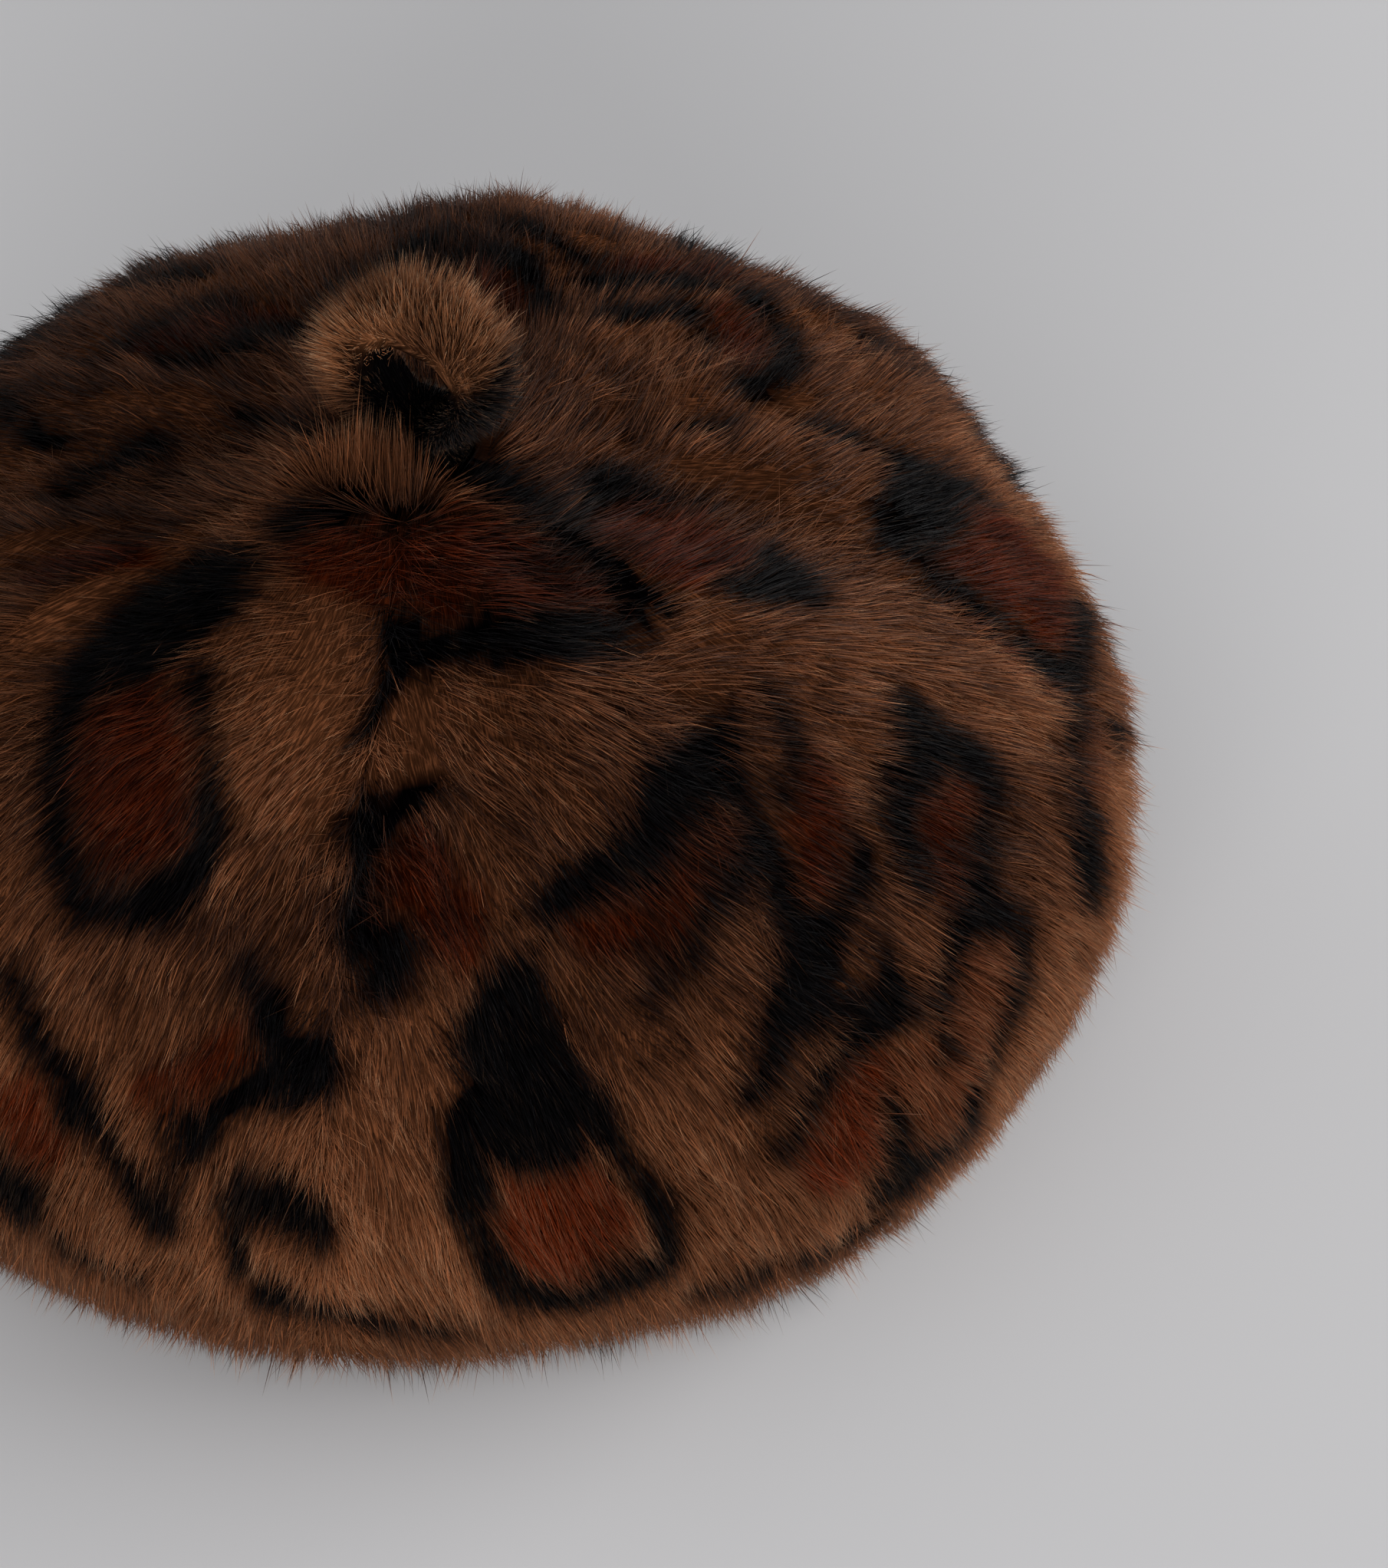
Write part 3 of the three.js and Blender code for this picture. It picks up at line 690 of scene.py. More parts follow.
    def relief(self, azimuth: np.ndarray, share: np.ndarray) -> np.ndarray:
        """Gives how far the seams and folds move the cloth outwards, in metres."""
        radius, _ = self.outline(share)
        clear = smooth_between(radius, self.hole_radius * 0.5, self.hole_radius * 3)
        moved = -self.seam_dip * clear * np.exp(-((self.from_seam(azimuth, share) / self.seam_dip_width) ** 2))
        edge = smooth_between(radius, self.hole_radius * 0.6, self.hole_radius * 1.4)
        for fold in self.folds:
            off = azimuth - math.radians(fold.azimuth)
            turn = np.arctan2(np.sin(off), np.cos(off))
            across = turn * radius / (fold.across * self.crown_height)
            along = (radius - fold.reach * self.rim_radius) / (fold.along * self.crown_height)
            swell = edge * fold.depth * self.crown_height * np.exp(-across * across - along * along)
            moved = moved + np.where(share < self.rim, swell, 0)
        return moved * smooth_between(self.hem - share, 0, 0.08)

    def surface(self, azimuth: np.ndarray, share: np.ndarray, height: float | np.ndarray = 0.0) -> np.ndarray:
        """Gives places on the form, or at a height off it.

        Args:
            azimuth: azimuths, in radians.
            share: shares of the way down the profile.
            height: distance off the form, outwards, in metres.

        Returns:
            One row of coordinates for each place.
        """
        _, _, normal = self.directions(azimuth, share)
        lifted = normal * (height + self.relief(azimuth, share))[..., None]
        return np.array(self.middle) + self.even_point(azimuth, share) + lifted


class Coat:
    """The print of the fur: which places are black, rust or plain ground."""

    def __init__(self, form: CrownForm) -> None:
        """Turns the marks and their repeats into line pieces.

        Args:
            form: the crown that the coat lies on.
        """
        self.form = form
        self.weight = 1.10
        self.spread = 0.0005
        self.lines: list[tuple[Ink, np.ndarray, bool]] = [(mark.ink, self.unbroken(mark), True) for mark in SEEN]
        for repeat in UNSEEN:
            for mark in SEEN:
                if mark.name in repeat.rosettes or mark.name[:-1] in repeat.rosettes:
                    points = self.unbroken(mark)
                    points[:, 0] = points[:, 0] * (-1 if repeat.mirrored else 1) + repeat.turn
                    points[:, 1] += repeat.slide
                    self.lines.append((mark.ink, points, False))

    @staticmethod
    def unbroken(mark: Marking) -> np.ndarray:
        """Gives a mark's points with azimuths that run on across the back."""
        points = np.array(mark.points, float)
        points[:, 0] = np.unwrap(points[:, 0], period=360)
        return points

    def ink(self, azimuth: np.ndarray, along: np.ndarray, edge: float = 0.0014) -> tuple[np.ndarray, np.ndarray]:
        """Reads the print.

        Args:
            azimuth: azimuths, in radians.
            along: distances from the crown's middle down the cloth, in metres.
            edge: half the width of the soft edge of a mark, in metres.

        Returns:
            The shares of black and of rust at each place.
        """
        black = np.zeros(len(azimuth))
        rust = np.zeros(len(azimuth))
        radius, _ = self.form.outline(along / self.form.length)
        side = np.degrees(np.arctan2(np.sin(azimuth), np.cos(azimuth)))
        shown_to = np.interp(side, SHOWN_AZIMUTH, SHOWN_ALONG) / 1000
        unseen = smooth_between(along - shown_to, -0.002, 0.003)
        for ink, points, shown in self.lines:
            middle = math.radians(points[:, 0].mean())
            off = azimuth - middle
            off = np.arctan2(np.sin(off), np.cos(off))
            span = math.radians(np.abs(points[:, 0] - points[:, 0].mean()).max()) + 0.25
            near = (np.abs(off) < span) & (np.abs(along - points[:, 1].mean() / 1000) < 0.06)
            if not near.any():
                continue
            here = off[near], along[near], radius[near]
            mask = np.zeros(near.sum())
            for start, end in zip(points[:-1], points[1:]):
                x0 = (here[0] - (math.radians(start[0]) - middle)) * here[2]
                x1 = (here[0] - (math.radians(end[0]) - middle)) * here[2]
                y0, y1 = here[1] - start[1] / 1000, here[1] - end[1] / 1000
                run_x, run_y = x0 - x1, y0 - y1
                part = np.clip((x0 * run_x + y0 * run_y) / np.maximum(run_x**2 + run_y**2, 1e-12), 0, 1)
                distance = np.hypot(x0 - part * run_x, y0 - part * run_y)
                half = (start[2] + (end[2] - start[2]) * part) / 2000 * self.weight + self.spread
                mask = np.maximum(mask, 1 - smooth_between(distance - half, -edge, edge))
            if not shown:
                mask = mask * unseen[near]
            black[near] = np.maximum(black[near], mask * ink.value[0])
            rust[near] = np.maximum(rust[near], mask * ink.value[1])
        return black, rust * (1 - black)


def kept_off_floor(points: np.ndarray, floor: float | np.ndarray, outward: np.ndarray, slide: float) -> None:
    """Lifts points up to a height above the floor, and slides them outwards by a share of that.

    Args:
        points: the points, which are moved.
        floor: least height, in metres.
        outward: unit directions away from the crown's middle.
        slide: share of the lift that the points slide outwards.
    """
    low = np.maximum(floor - points[:, 2], 0)
    points += outward * (low * slide)[:, None]
    points[:, 2] += low


@dataclass
class Hairs:
    """Hairs of one kind, each from a root through a middle to a tip, with its width and colour.

    Attributes:
        root: places where the hairs start, inside the backing.
        middle: places half way.
        tip: places where the hairs end.
        width: width at the root, in metres.
        ink: shares of black and rust and the tone, at the foot and at the tip of each hair.
    """

    root: np.ndarray
    middle: np.ndarray
    tip: np.ndarray
    width: np.ndarray
    ink: np.ndarray

    def ring(self, centre: np.ndarray, heading: np.ndarray, width: np.ndarray, turn: np.ndarray) -> np.ndarray:
        """Gives the three corners of a hair's section.

        Args:
            centre: middles of the sections.
            heading: unit directions of the hairs there.
            width: widths of the sections.
            turn: turns of the sections about the hairs.

        Returns:
            Corners, as hair by corner by coordinate.
        """
        spare = np.where(np.abs(heading[:, 2:]) < 0.9, [[0.0, 0.0, 1.0]], [[1.0, 0.0, 0.0]])
        side = unit(np.cross(heading, spare))
        over = np.cross(heading, side)
        angle = turn[:, None] + np.arange(3) * math.tau / 3
        spread = side[:, None] * np.cos(angle)[..., None] + over[:, None] * np.sin(angle)[..., None]
        return centre[:, None] + spread * (width / 2)[:, None, None]

    def straight(self, turn: np.ndarray) -> tuple[np.ndarray, np.ndarray, np.ndarray]:
        """Makes each hair a three-sided spike.

        Args:
            turn: turns of the sections about the hairs.

        Returns:
            Points by hair, faces within a hair, and how far along the hair each point lies.
        """
        heading = unit(self.tip - self.root)
        base = self.ring(self.root, heading, self.width, turn)
        points = np.concatenate([base, self.tip[:, None]], axis=1)
        faces = np.array([[0, 1, 3], [1, 2, 3], [2, 0, 3]])
        return points, faces, np.array([0.0, 0.0, 0.0, 1.0])

    def bent(self, turn: np.ndarray) -> tuple[np.ndarray, np.ndarray, np.ndarray]:
        """Makes each hair a three-sided spike that bends at its middle.

        Args:
            turn: turns of the sections about the hairs.

        Returns:
            Points by hair, faces within a hair, and how far along the hair each point lies.
        """
        base = self.ring(self.root, unit(self.middle - self.root), self.width, turn)
        knee = self.ring(self.middle, unit(self.tip - self.root), self.width * 0.8, turn)
        points = np.concatenate([base, knee, self.tip[:, None]], axis=1)
        faces = []
        for corner in range(3):
            after = (corner + 1) % 3
            faces += [[corner, after, after + 3], [corner, after + 3, corner + 3], [corner + 3, after + 3, 6]]
        return points, np.array(faces), np.array([0.0] * 3 + [0.5] * 3 + [1.0])


class Pelt:
    """A piece of fur as one mesh, made from arrays of hairs."""

    def __init__(self, name: str, seed: int) -> None:
        """Starts an empty pelt.

        Args:
            name: name of the piece.
            seed: seed of its random draws.
        """
        self.name = name
        self.rng = np.random.default_rng(seed)
        self.parts: list[tuple[np.ndarray, np.ndarray, np.ndarray, np.ndarray]] = []

    def add(self, hairs: Hairs, bent: bool) -> None:
        """Adds hairs of one kind to the pelt."""
        turn = self.rng.uniform(0, math.tau, len(hairs.root))
        points, faces, along = hairs.bent(turn) if bent else hairs.straight(turn)
        points[..., 2] = np.maximum(points[..., 2], FLOOR_GAP)
        self.parts.append((points, faces, along, hairs.ink))

    def build(self, material: bpy.types.Material) -> bpy.types.Object:
        """Joins the hairs to one mesh.

        The attribute "coat" holds black, rust, tone and the way from root to tip. The UV map
        "OFBake" gives each hair its own cell, in which its faces lie as narrow bands.

        Args:
            material: finish of the hairs.

        Returns:
            The new object, at the origin.
        """
        total = sum(len(points) for points, _, _, _ in self.parts)
        columns = math.ceil(math.sqrt(total))
        coords, corners, coat, cells = [], [], [], []
        start, hair = 0, 0
        for points, faces, along, ink in self.parts:
            count, size, _ = points.shape
            printed = ink[:, :1] + (ink[:, 1:] - ink[:, :1]) * along[None, :, None]
            coords.append(points.reshape(-1, 3))
            corners.append((faces[None] + (start + np.arange(count) * size)[:, None, None]).reshape(-1, 3))
            coat.append(np.concatenate([printed.reshape(-1, 3), np.tile(along, count)[:, None]], axis=1))
            number = hair + np.arange(count)
            cell = np.stack([number % columns, number // columns], axis=-1)
            cells.append(self.cell_places(cell, faces, along) / columns)
            start += count * size
            hair += count
        mesh = bpy.data.meshes.new(self.name)
        vertices, loops = np.concatenate(coords), np.concatenate(corners)
        mesh.vertices.add(len(vertices))
        mesh.vertices.foreach_set("co", vertices.astype(np.float32).ravel())
        mesh.loops.add(loops.size)
        mesh.loops.foreach_set("vertex_index", loops.astype(np.int32).ravel())
        mesh.polygons.add(len(loops))
        mesh.polygons.foreach_set("loop_start", np.arange(0, loops.size, 3, dtype=np.int32))
        smoothed(mesh)
        mesh.update(calc_edges=True)
        coated(mesh, np.concatenate(coat))
        bake = mesh.uv_layers.new(name="OFBake")
        bake.uv.foreach_set("vector", np.concatenate(cells).astype(np.float32).ravel())
        mesh.materials.append(material)
        piece = bpy.data.objects.new(self.name, mesh)
        bpy.context.scene.collection.objects.link(piece)
        return piece

    def cell_places(self, cell: np.ndarray, faces: np.ndarray, along: np.ndarray) -> np.ndarray:
        """Lays each hair's faces out in its cell of the bake map.

        Args:
            cell: column and row of each hair's cell.
            faces: faces within a hair.
            along: how far along the hair each of its points lies.

        Returns:
            One place for each corner of each face, in cells.
        """
        shape = np.zeros((len(faces), 3, 2))
        for number, face in enumerate(faces):
            level = along[face]
            shape[number, :, 1] = 0.08 + 0.84 * level
            low, high = level == level.min(), level == level.max()
            left = 0.08 + 0.28 * (number % 3)
            wide = [left, left + 0.26]
            few = low if low.sum() < high.sum() else high
            spots = np.empty(3)
            spots[few] = left + (0.0 if high.sum() == 2 else 0.13)
            spots[~few] = wide
            shape[number, :, 0] = spots
        return (cell[:, None, None, :] + shape[None]).reshape(-1, 2)


Colour = tuple[float, float, float, float]


def tint(red: float, green: float, blue: float) -> Colour:
    """Gives a linear colour from the 0 to 255 values of a colour chart."""
    shares = [value / 255 for value in (red, green, blue)]
    linear = [share / 12.92 if share <= 0.04045 else ((share + 0.055) / 1.055) ** 2.4 for share in shares]
    return (linear[0], linear[1], linear[2], 1.0)


class Recipe:
    """Adds and joins shader nodes in one node tree."""

    def __init__(self, tree: bpy.types.NodeTree) -> None:
        """Starts on a tree."""
        self.tree = tree

    def node(self, kind: str, **settings: object) -> bpy.types.Node:
        """Adds a node.

        Args:
            kind: the node's type.
            settings: its own settings, by name.

        Returns:
            The new node.
        """
        added = self.tree.nodes.new(kind)
        for name, value in settings.items():
            setattr(added, name, value)
        return added

    def feed(self, socket: bpy.types.NodeSocket, value: object) -> None:
        """Joins a socket to another socket, or sets its value."""
        if isinstance(value, bpy.types.NodeSocket):
            self.tree.links.new(value, socket)
        else:
            socket.default_value = value

    def mixed(self, share: object, first: object, second: object, blend: str = "MIX") -> bpy.types.NodeSocket:
        """Mixes two colours.

        Args:
            share: share of the second colour.
            first: first colour.
            second: second colour.
            blend: the way they are mixed.

        Returns:
            The mixed colour's socket.
        """
        mix = self.node("ShaderNodeMix", data_type="RGBA", blend_type=blend)
        for number, value in ((0, share), (6, first), (7, second)):
            self.feed(mix.inputs[number], value)
        return mix.outputs[2]

    def number(self, operation: str, first: object, second: object = 0.0, clamp: bool = False) -> bpy.types.NodeSocket:
        """Works out a number from two others and gives its socket."""
        maths = self.node("ShaderNodeMath", operation=operation, use_clamp=clamp)
        self.feed(maths.inputs[0], first)
        self.feed(maths.inputs[1], second)
        return maths.outputs[0]

    def ramped(
        self, value: object, low: float, high: float, start: float = 0.0, end: float = 1.0
    ) -> bpy.types.NodeSocket:
        """Maps a value from one range to another along a smooth ramp and gives its socket."""
        ramp = self.node("ShaderNodeMapRange", interpolation_type="SMOOTHSTEP")
        for number, setting in enumerate((value, low, high, start, end)):
            self.feed(ramp.inputs[number], setting)
        return ramp.outputs[0]

    def noise(self, place: object, scale: float, detail: float = 2.0) -> bpy.types.NodeSocket:
        """Adds a noise texture and gives its value's socket."""
        texture = self.node("ShaderNodeTexNoise")
        self.feed(texture.inputs["Vector"], place)
        texture.inputs["Scale"].default_value = scale
        texture.inputs["Detail"].default_value = detail
        return texture.outputs["Fac"]

    def raised(self, shader: bpy.types.Node, height: object, strength: float, distance: float) -> None:
        """Gives a shader relief from a height.

        Args:
            shader: the shader's node.
            height: socket of the height.
            strength: strength of the relief, up to 1.
            distance: depth of the relief, in metres.
        """
        bump = self.node("ShaderNodeBump")
        bump.inputs["Strength"].default_value = strength
        bump.inputs["Distance"].default_value = distance
        self.feed(bump.inputs["Height"], height)
        self.feed(shader.inputs["Normal"], bump.outputs[0])

    def surface(self, colour: object, roughness: float, specular: float = 0.5) -> bpy.types.Node:
        """Adds a shader that the material shows.

        Args:
            colour: socket of the base colour.
            roughness: its roughness.
            specular: strength of its gloss.

        Returns:
            The shader's node.
        """
        shader = self.node("ShaderNodeBsdfPrincipled")
        self.feed(shader.inputs["Base Color"], colour)
        shader.inputs["Roughness"].default_value = roughness
        shader.inputs["Specular IOR Level"].default_value = specular
        output = self.node("ShaderNodeOutputMaterial")
        self.feed(output.inputs["Surface"], shader.outputs[0])
        return shader

    def placed(self, place: object, scale: tuple[float, float, float]) -> bpy.types.NodeSocket:
        """Scales a place by axis and gives its socket."""
        mapping = self.node("ShaderNodeMapping")
        self.feed(mapping.inputs["Vector"], place)
        mapping.inputs["Scale"].default_value = scale
        return mapping.outputs[0]


def empty_material(name: str) -> tuple[bpy.types.Material, Recipe]:
    """Starts an empty material and gives it with its recipe."""
    material = bpy.data.materials.new(name)
    material.use_nodes = True
    material.node_tree.nodes.clear()
    return material, Recipe(material.node_tree)


def group_tree(
    name: str, takes: dict[str, str], gives: dict[str, str]
) -> tuple[Recipe, bpy.types.Node, bpy.types.Node]:
    """Starts a shader node group.

    Args:
        name: name of the group.
        takes: input names with their socket types.
        gives: output names with their socket types.

    Returns:
        The recipe on the group's tree, its input node and its output node.
    """
    tree = bpy.data.node_groups.new(name, "ShaderNodeTree")
    for side, sockets in (("INPUT", takes), ("OUTPUT", gives)):
        for socket, kind in sockets.items():
            tree.interface.new_socket(socket, in_out=side, socket_type=kind)
    recipe = Recipe(tree)
    return recipe, recipe.node("NodeGroupInput"), recipe.node("NodeGroupOutput")


def printed_hair_group() -> bpy.types.NodeTree:
    """Colours a hair from its share of black and rust, its tone and the way along it, darkening it towards the root as
    partly painted shade and paling its tip as partly painted sheen.

    Returns:
        The group's tree.
    """
    colours = ("Ground Light", "Ground Dark", "Rust Light", "Rust Dark", "Black", "Tip")
    takes = {"Coat": "NodeSocketColor", "Way": "NodeSocketFloat"} | {name: "NodeSocketColor" for name in colours}
    recipe, given, out = group_tree("Printed hair", takes, {"Color": "NodeSocketColor"})
    parts = recipe.node("ShaderNodeSeparateColor")
    recipe.feed(parts.inputs[0], given.outputs["Coat"])
    black, rust, tone = parts.outputs
    ground = recipe.mixed(tone, given.outputs["Ground Dark"], given.outputs["Ground Light"])
    warm = recipe.mixed(tone, given.outputs["Rust Dark"], given.outputs["Rust Light"])
    colour = recipe.mixed(rust, ground, warm)
    colour = recipe.mixed(black, colour, given.outputs["Black"])
    # Pale tips, partly the fur's own and partly painted sheen where light grazes the tips; black hairs keep a little
    # of it as a painted grey sheen.
    near_tip = recipe.ramped(given.outputs["Way"], 0.7, 1.0)
    pale = recipe.number("MULTIPLY", near_tip, recipe.ramped(tone, 0.2, 1.0, 0.02, 1.0))
    pale = recipe.number("MULTIPLY", pale, recipe.number("SUBTRACT", 1.0, recipe.number("MULTIPLY", black, 0.88)))
    pale = recipe.number("MULTIPLY", pale, recipe.number("SUBTRACT", 1.0, recipe.number("MULTIPLY", rust, 0.65)))
    colour = recipe.mixed(pale, colour, given.outputs["Tip"])
    # Painted shade, partly real: each hair is darkened towards its root, down to 0.22 of its colour, for its own
    # darker root and for the shade deep in the pile.
    depth = recipe.ramped(given.outputs["Way"], 0.1, 0.8, 0.22, 1.0)
    shade = recipe.node("ShaderNodeCombineColor")
    for socket in shade.inputs:
        recipe.feed(socket, depth)
    recipe.feed(out.inputs[0], recipe.mixed(1.0, colour, shade.outputs[0], "MULTIPLY"))
    return recipe.tree


def knit_group() -> bpy.types.NodeTree:
    """Draws the fine knit of a fur's cloth backing.

    Returns:
        The group's tree, which gives a colour mask and a height; the mask follows the stitches' height, as painted
        shade in the grooves between them.
    """
    takes = {"Vector": "NodeSocketVector", "Stitches per Metre": "NodeSocketFloat"}
    gives = {"Shade": "NodeSocketFloat", "Height": "NodeSocketFloat"}
    recipe, given, out = group_tree("Backing knit", takes, gives)
    parts = recipe.node("ShaderNodeSeparateXYZ")
    recipe.feed(parts.inputs[0], given.outputs["Vector"])
    pitch = recipe.number("MULTIPLY", given.outputs["Stitches per Metre"], math.tau)
    across = recipe.number("MULTIPLY", parts.outputs[0], pitch)
    wale = recipe.number("ABSOLUTE", recipe.number("SINE", recipe.number("MULTIPLY", across, 0.5)))
    slant = recipe.number("MULTIPLY", wale, 2.2)
    along = recipe.number("ADD", recipe.number("MULTIPLY", parts.outputs[1], pitch), slant)
    course = recipe.number("ADD", recipe.number("MULTIPLY", recipe.number("SINE", along), 0.5), 0.5)
    stitch = recipe.number("MULTIPLY", recipe.number("ADD", recipe.number("MULTIPLY", course, 0.6), 0.4), wale)
    fuzz = recipe.noise(given.outputs["Vector"], 900.0)
    recipe.feed(out.inputs["Height"], recipe.number("ADD", stitch, recipe.number("MULTIPLY", fuzz, 0.3)))
    # Painted shade: the colour follows the stitch height, darker in the grooves.
    shade = recipe.number("ADD", recipe.number("MULTIPLY", stitch, 0.7), recipe.number("MULTIPLY", fuzz, 0.3))
    recipe.feed(out.inputs["Shade"], shade)
    return recipe.tree


@dataclass(frozen=True)
class FurFinish:
    """Finish of printed fur, on hairs or on the bed of fur under them."""

    name: str
    ground_light: Colour
    ground_dark: Colour
    rust_light: Colour
    rust_dark: Colour
    black: Colour
    tip: Colour
    roughness: float = 0.44
    specular: float = 0.033

    def group(self, recipe: Recipe, printed: bpy.types.NodeTree, coat: object, way: object) -> bpy.types.NodeSocket:
        """Places the shared group with this finish's colours.

        Args:
            recipe: recipe on the material's tree.
            printed: the shared group's tree.
            coat: socket with the shares of black and rust and the tone.
            way: socket with the way from root to tip.

        Returns:
            The colour's socket.
        """
        node = recipe.node("ShaderNodeGroup", node_tree=printed)
        values = {
            "Coat": coat,
            "Way": way,
            "Ground Light": self.ground_light,
            "Ground Dark": self.ground_dark,
            "Rust Light": self.rust_light,
            "Rust Dark": self.rust_dark,
            "Black": self.black,
            "Tip": self.tip,
        }
        for name, value in values.items():
            recipe.feed(node.inputs[name], value)
        return node.outputs[0]

    def hairs(self, printed: bpy.types.NodeTree) -> bpy.types.Material:
        """Makes the finish of single hairs, coloured by their attribute.

        Args:
            printed: the shared group's tree.

        Returns:
            The material.
        """
        material, recipe = empty_material(self.name)
        coat = recipe.node("ShaderNodeAttribute", attribute_name="coat")
        colour = self.group(recipe, printed, coat.outputs["Color"], coat.outputs["Alpha"])
        recipe.surface(colour, self.roughness, self.specular)
        return material

    def bed(self, printed: bpy.types.NodeTree) -> bpy.types.Material:
        """Makes the finish of the short fur on the backing, streaked down the cloth.

        Args:
            printed: the shared group's tree.

        Returns:
            The material.
        """
        material, recipe = empty_material(self.name + " bed")
        coat = recipe.node("ShaderNodeAttribute", attribute_name="coat")
        cloth = recipe.node("ShaderNodeUVMap", uv_map="cloth")
        streaks = recipe.noise(recipe.placed(cloth.outputs[0], (2600.0, 260.0, 1.0)), 1.0, 3.0)
        # The bed is read as the roots of hairs, so it takes their darkening: partly the darker roots and partly
        # painted shade under the hairs.
        way = recipe.ramped(streaks, 0.3, 0.75, 0.0, 0.62)
        dull = recipe.surface(self.group(recipe, printed, coat.outputs["Color"], way), 1.0, 0.0)
        recipe.raised(dull, streaks, 0.9, 0.0008)
        return material


@dataclass(frozen=True)
class BackingFinish:
    """Finish of the knitted cloth that the pile is rooted in, seen inside the crown."""

    name: str
    light: Colour
    dark: Colour
    stitches: float = 520.0
    roughness: float = 0.85
    sheen: float = 0.15

    def material(self, knit: bpy.types.NodeTree) -> bpy.types.Material:
        """Makes the finish.

        Args:
            knit: the shared knit group's tree.

        Returns:
            The material.
        """
        material, recipe = empty_material(self.name)
        cloth = recipe.node("ShaderNodeUVMap", uv_map="cloth")
        stitch = recipe.node("ShaderNodeGroup", node_tree=knit)
        recipe.feed(stitch.inputs["Vector"], cloth.outputs[0])
        stitch.inputs["Stitches per Metre"].default_value = self.stitches
        place = recipe.node("ShaderNodeTexCoord")
        worn = recipe.ramped(recipe.noise(place.outputs["Object"], 28.0, 3.0), 0.3, 0.7, 0.0, 0.35)
        # The knit's painted groove shade, less random worn patches, picks between the dark and light backing colours.
        shade = recipe.number("SUBTRACT", stitch.outputs["Shade"], worn, clamp=True)
        shader = recipe.surface(recipe.mixed(shade, self.dark, self.light), self.roughness)
        shader.inputs["Sheen Weight"].default_value = self.sheen
        recipe.raised(shader, stitch.outputs["Height"], 0.7, 0.0005)
        return material


CROWN_FUR = FurFinish(
    name="crown fur",
    ground_light=tint(136, 82, 51),
    ground_dark=tint(36, 17, 9),
    rust_light=tint(98, 36, 12),
    rust_dark=tint(26, 7, 2),
    black=tint(4, 3, 4),
    # Pale tip colour, partly the fur's own and partly painted sheen.
    tip=tint(196, 150, 114),
)
HEM_FUR = replace(CROWN_FUR, name="hem fur", black=tint(5, 4, 5))
LOOP_FUR = FurFinish(
    name="loop fur",
    ground_light=tint(152, 97, 62),
    ground_dark=tint(50, 28, 17),
    rust_light=tint(98, 34, 12),
    rust_dark=tint(30, 8, 3),
    black=tint(7, 6, 7),
    # Pale tip colour, partly the fur's own and partly painted sheen.
    tip=tint(214, 176, 140),
)
BACKING = BackingFinish("knit backing", light=tint(112, 94, 78), dark=tint(44, 35, 29))


def nothing_selected() -> None:
    """Leaves object mode clean, with no object selected."""
    if bpy.context.mode != "OBJECT":
        bpy.ops.object.mode_set(mode="OBJECT")
    bpy.ops.object.select_all(action="DESELECT")


def worked_on(piece: bpy.types.Object) -> None:
    """Makes a piece the only selected and the active one."""
    nothing_selected()
    piece.select_set(True)
    bpy.context.view_layer.objects.active = piece


def finish_modifier(piece: bpy.types.Object, kind: str, **settings: object) -> None:
    """Adds a modifier to a piece and applies it.

    Args:
        piece: the piece.
        kind: the modifier's type.
        settings: its own settings, by name.
    """
    worked_on(piece)
    modifier = piece.modifiers.new(kind.title(), kind)
    for name, value in settings.items():
        setattr(modifier, name, value)
    bpy.ops.object.modifier_apply(modifier=modifier.name)


def vertex_places(mesh: bpy.types.Mesh) -> np.ndarray:
    """Reads the places of a mesh's vertices, one row each."""
    places = np.empty(len(mesh.vertices) * 3, dtype=np.float32)
    mesh.vertices.foreach_get("co", places)
    return places.reshape(-1, 3).astype(float)


def place_vertices(mesh: bpy.types.Mesh, places: np.ndarray) -> None:
    """Moves a mesh's vertices to new places."""
    mesh.vertices.foreach_set("co", places.astype(np.float32).ravel())
    mesh.update()


def coated(mesh: bpy.types.Mesh, coat: np.ndarray) -> None:
    """Writes the attribute "coat" on a mesh's vertices."""
    colours = mesh.attributes.new("coat", "FLOAT_COLOR", "POINT")
    colours.data.foreach_set("color", coat.astype(np.float32).ravel())


def map_cloth(mesh: bpy.types.Mesh, cloth: np.ndarray) -> None:
    """Writes the UV map "cloth" from each vertex's place on the flat cloth, in metres."""
    layer = mesh.uv_layers.get("cloth") or mesh.uv_layers.new(name="cloth")
    corner = np.empty(len(mesh.loops), dtype=np.int32)
    mesh.loops.foreach_get("vertex_index", corner)
    layer.uv.foreach_set("vector", cloth[corner].astype(np.float32).ravel())


def smoothed(mesh: bpy.types.Mesh) -> None:
    """Shades all of a mesh's faces as one smooth surface."""
    mesh.polygons.foreach_set("use_smooth", np.ones(len(mesh.polygons), dtype=bool))


def dress_strip(mesh: bpy.types.Mesh, bed: bpy.types.Material) -> None:
    """Gives a strip one smooth finish all over."""
    mesh.materials.append(bed)
    mesh.polygons.foreach_set("material_index", np.zeros(len(mesh.polygons), dtype=np.int32))
    smoothed(mesh)


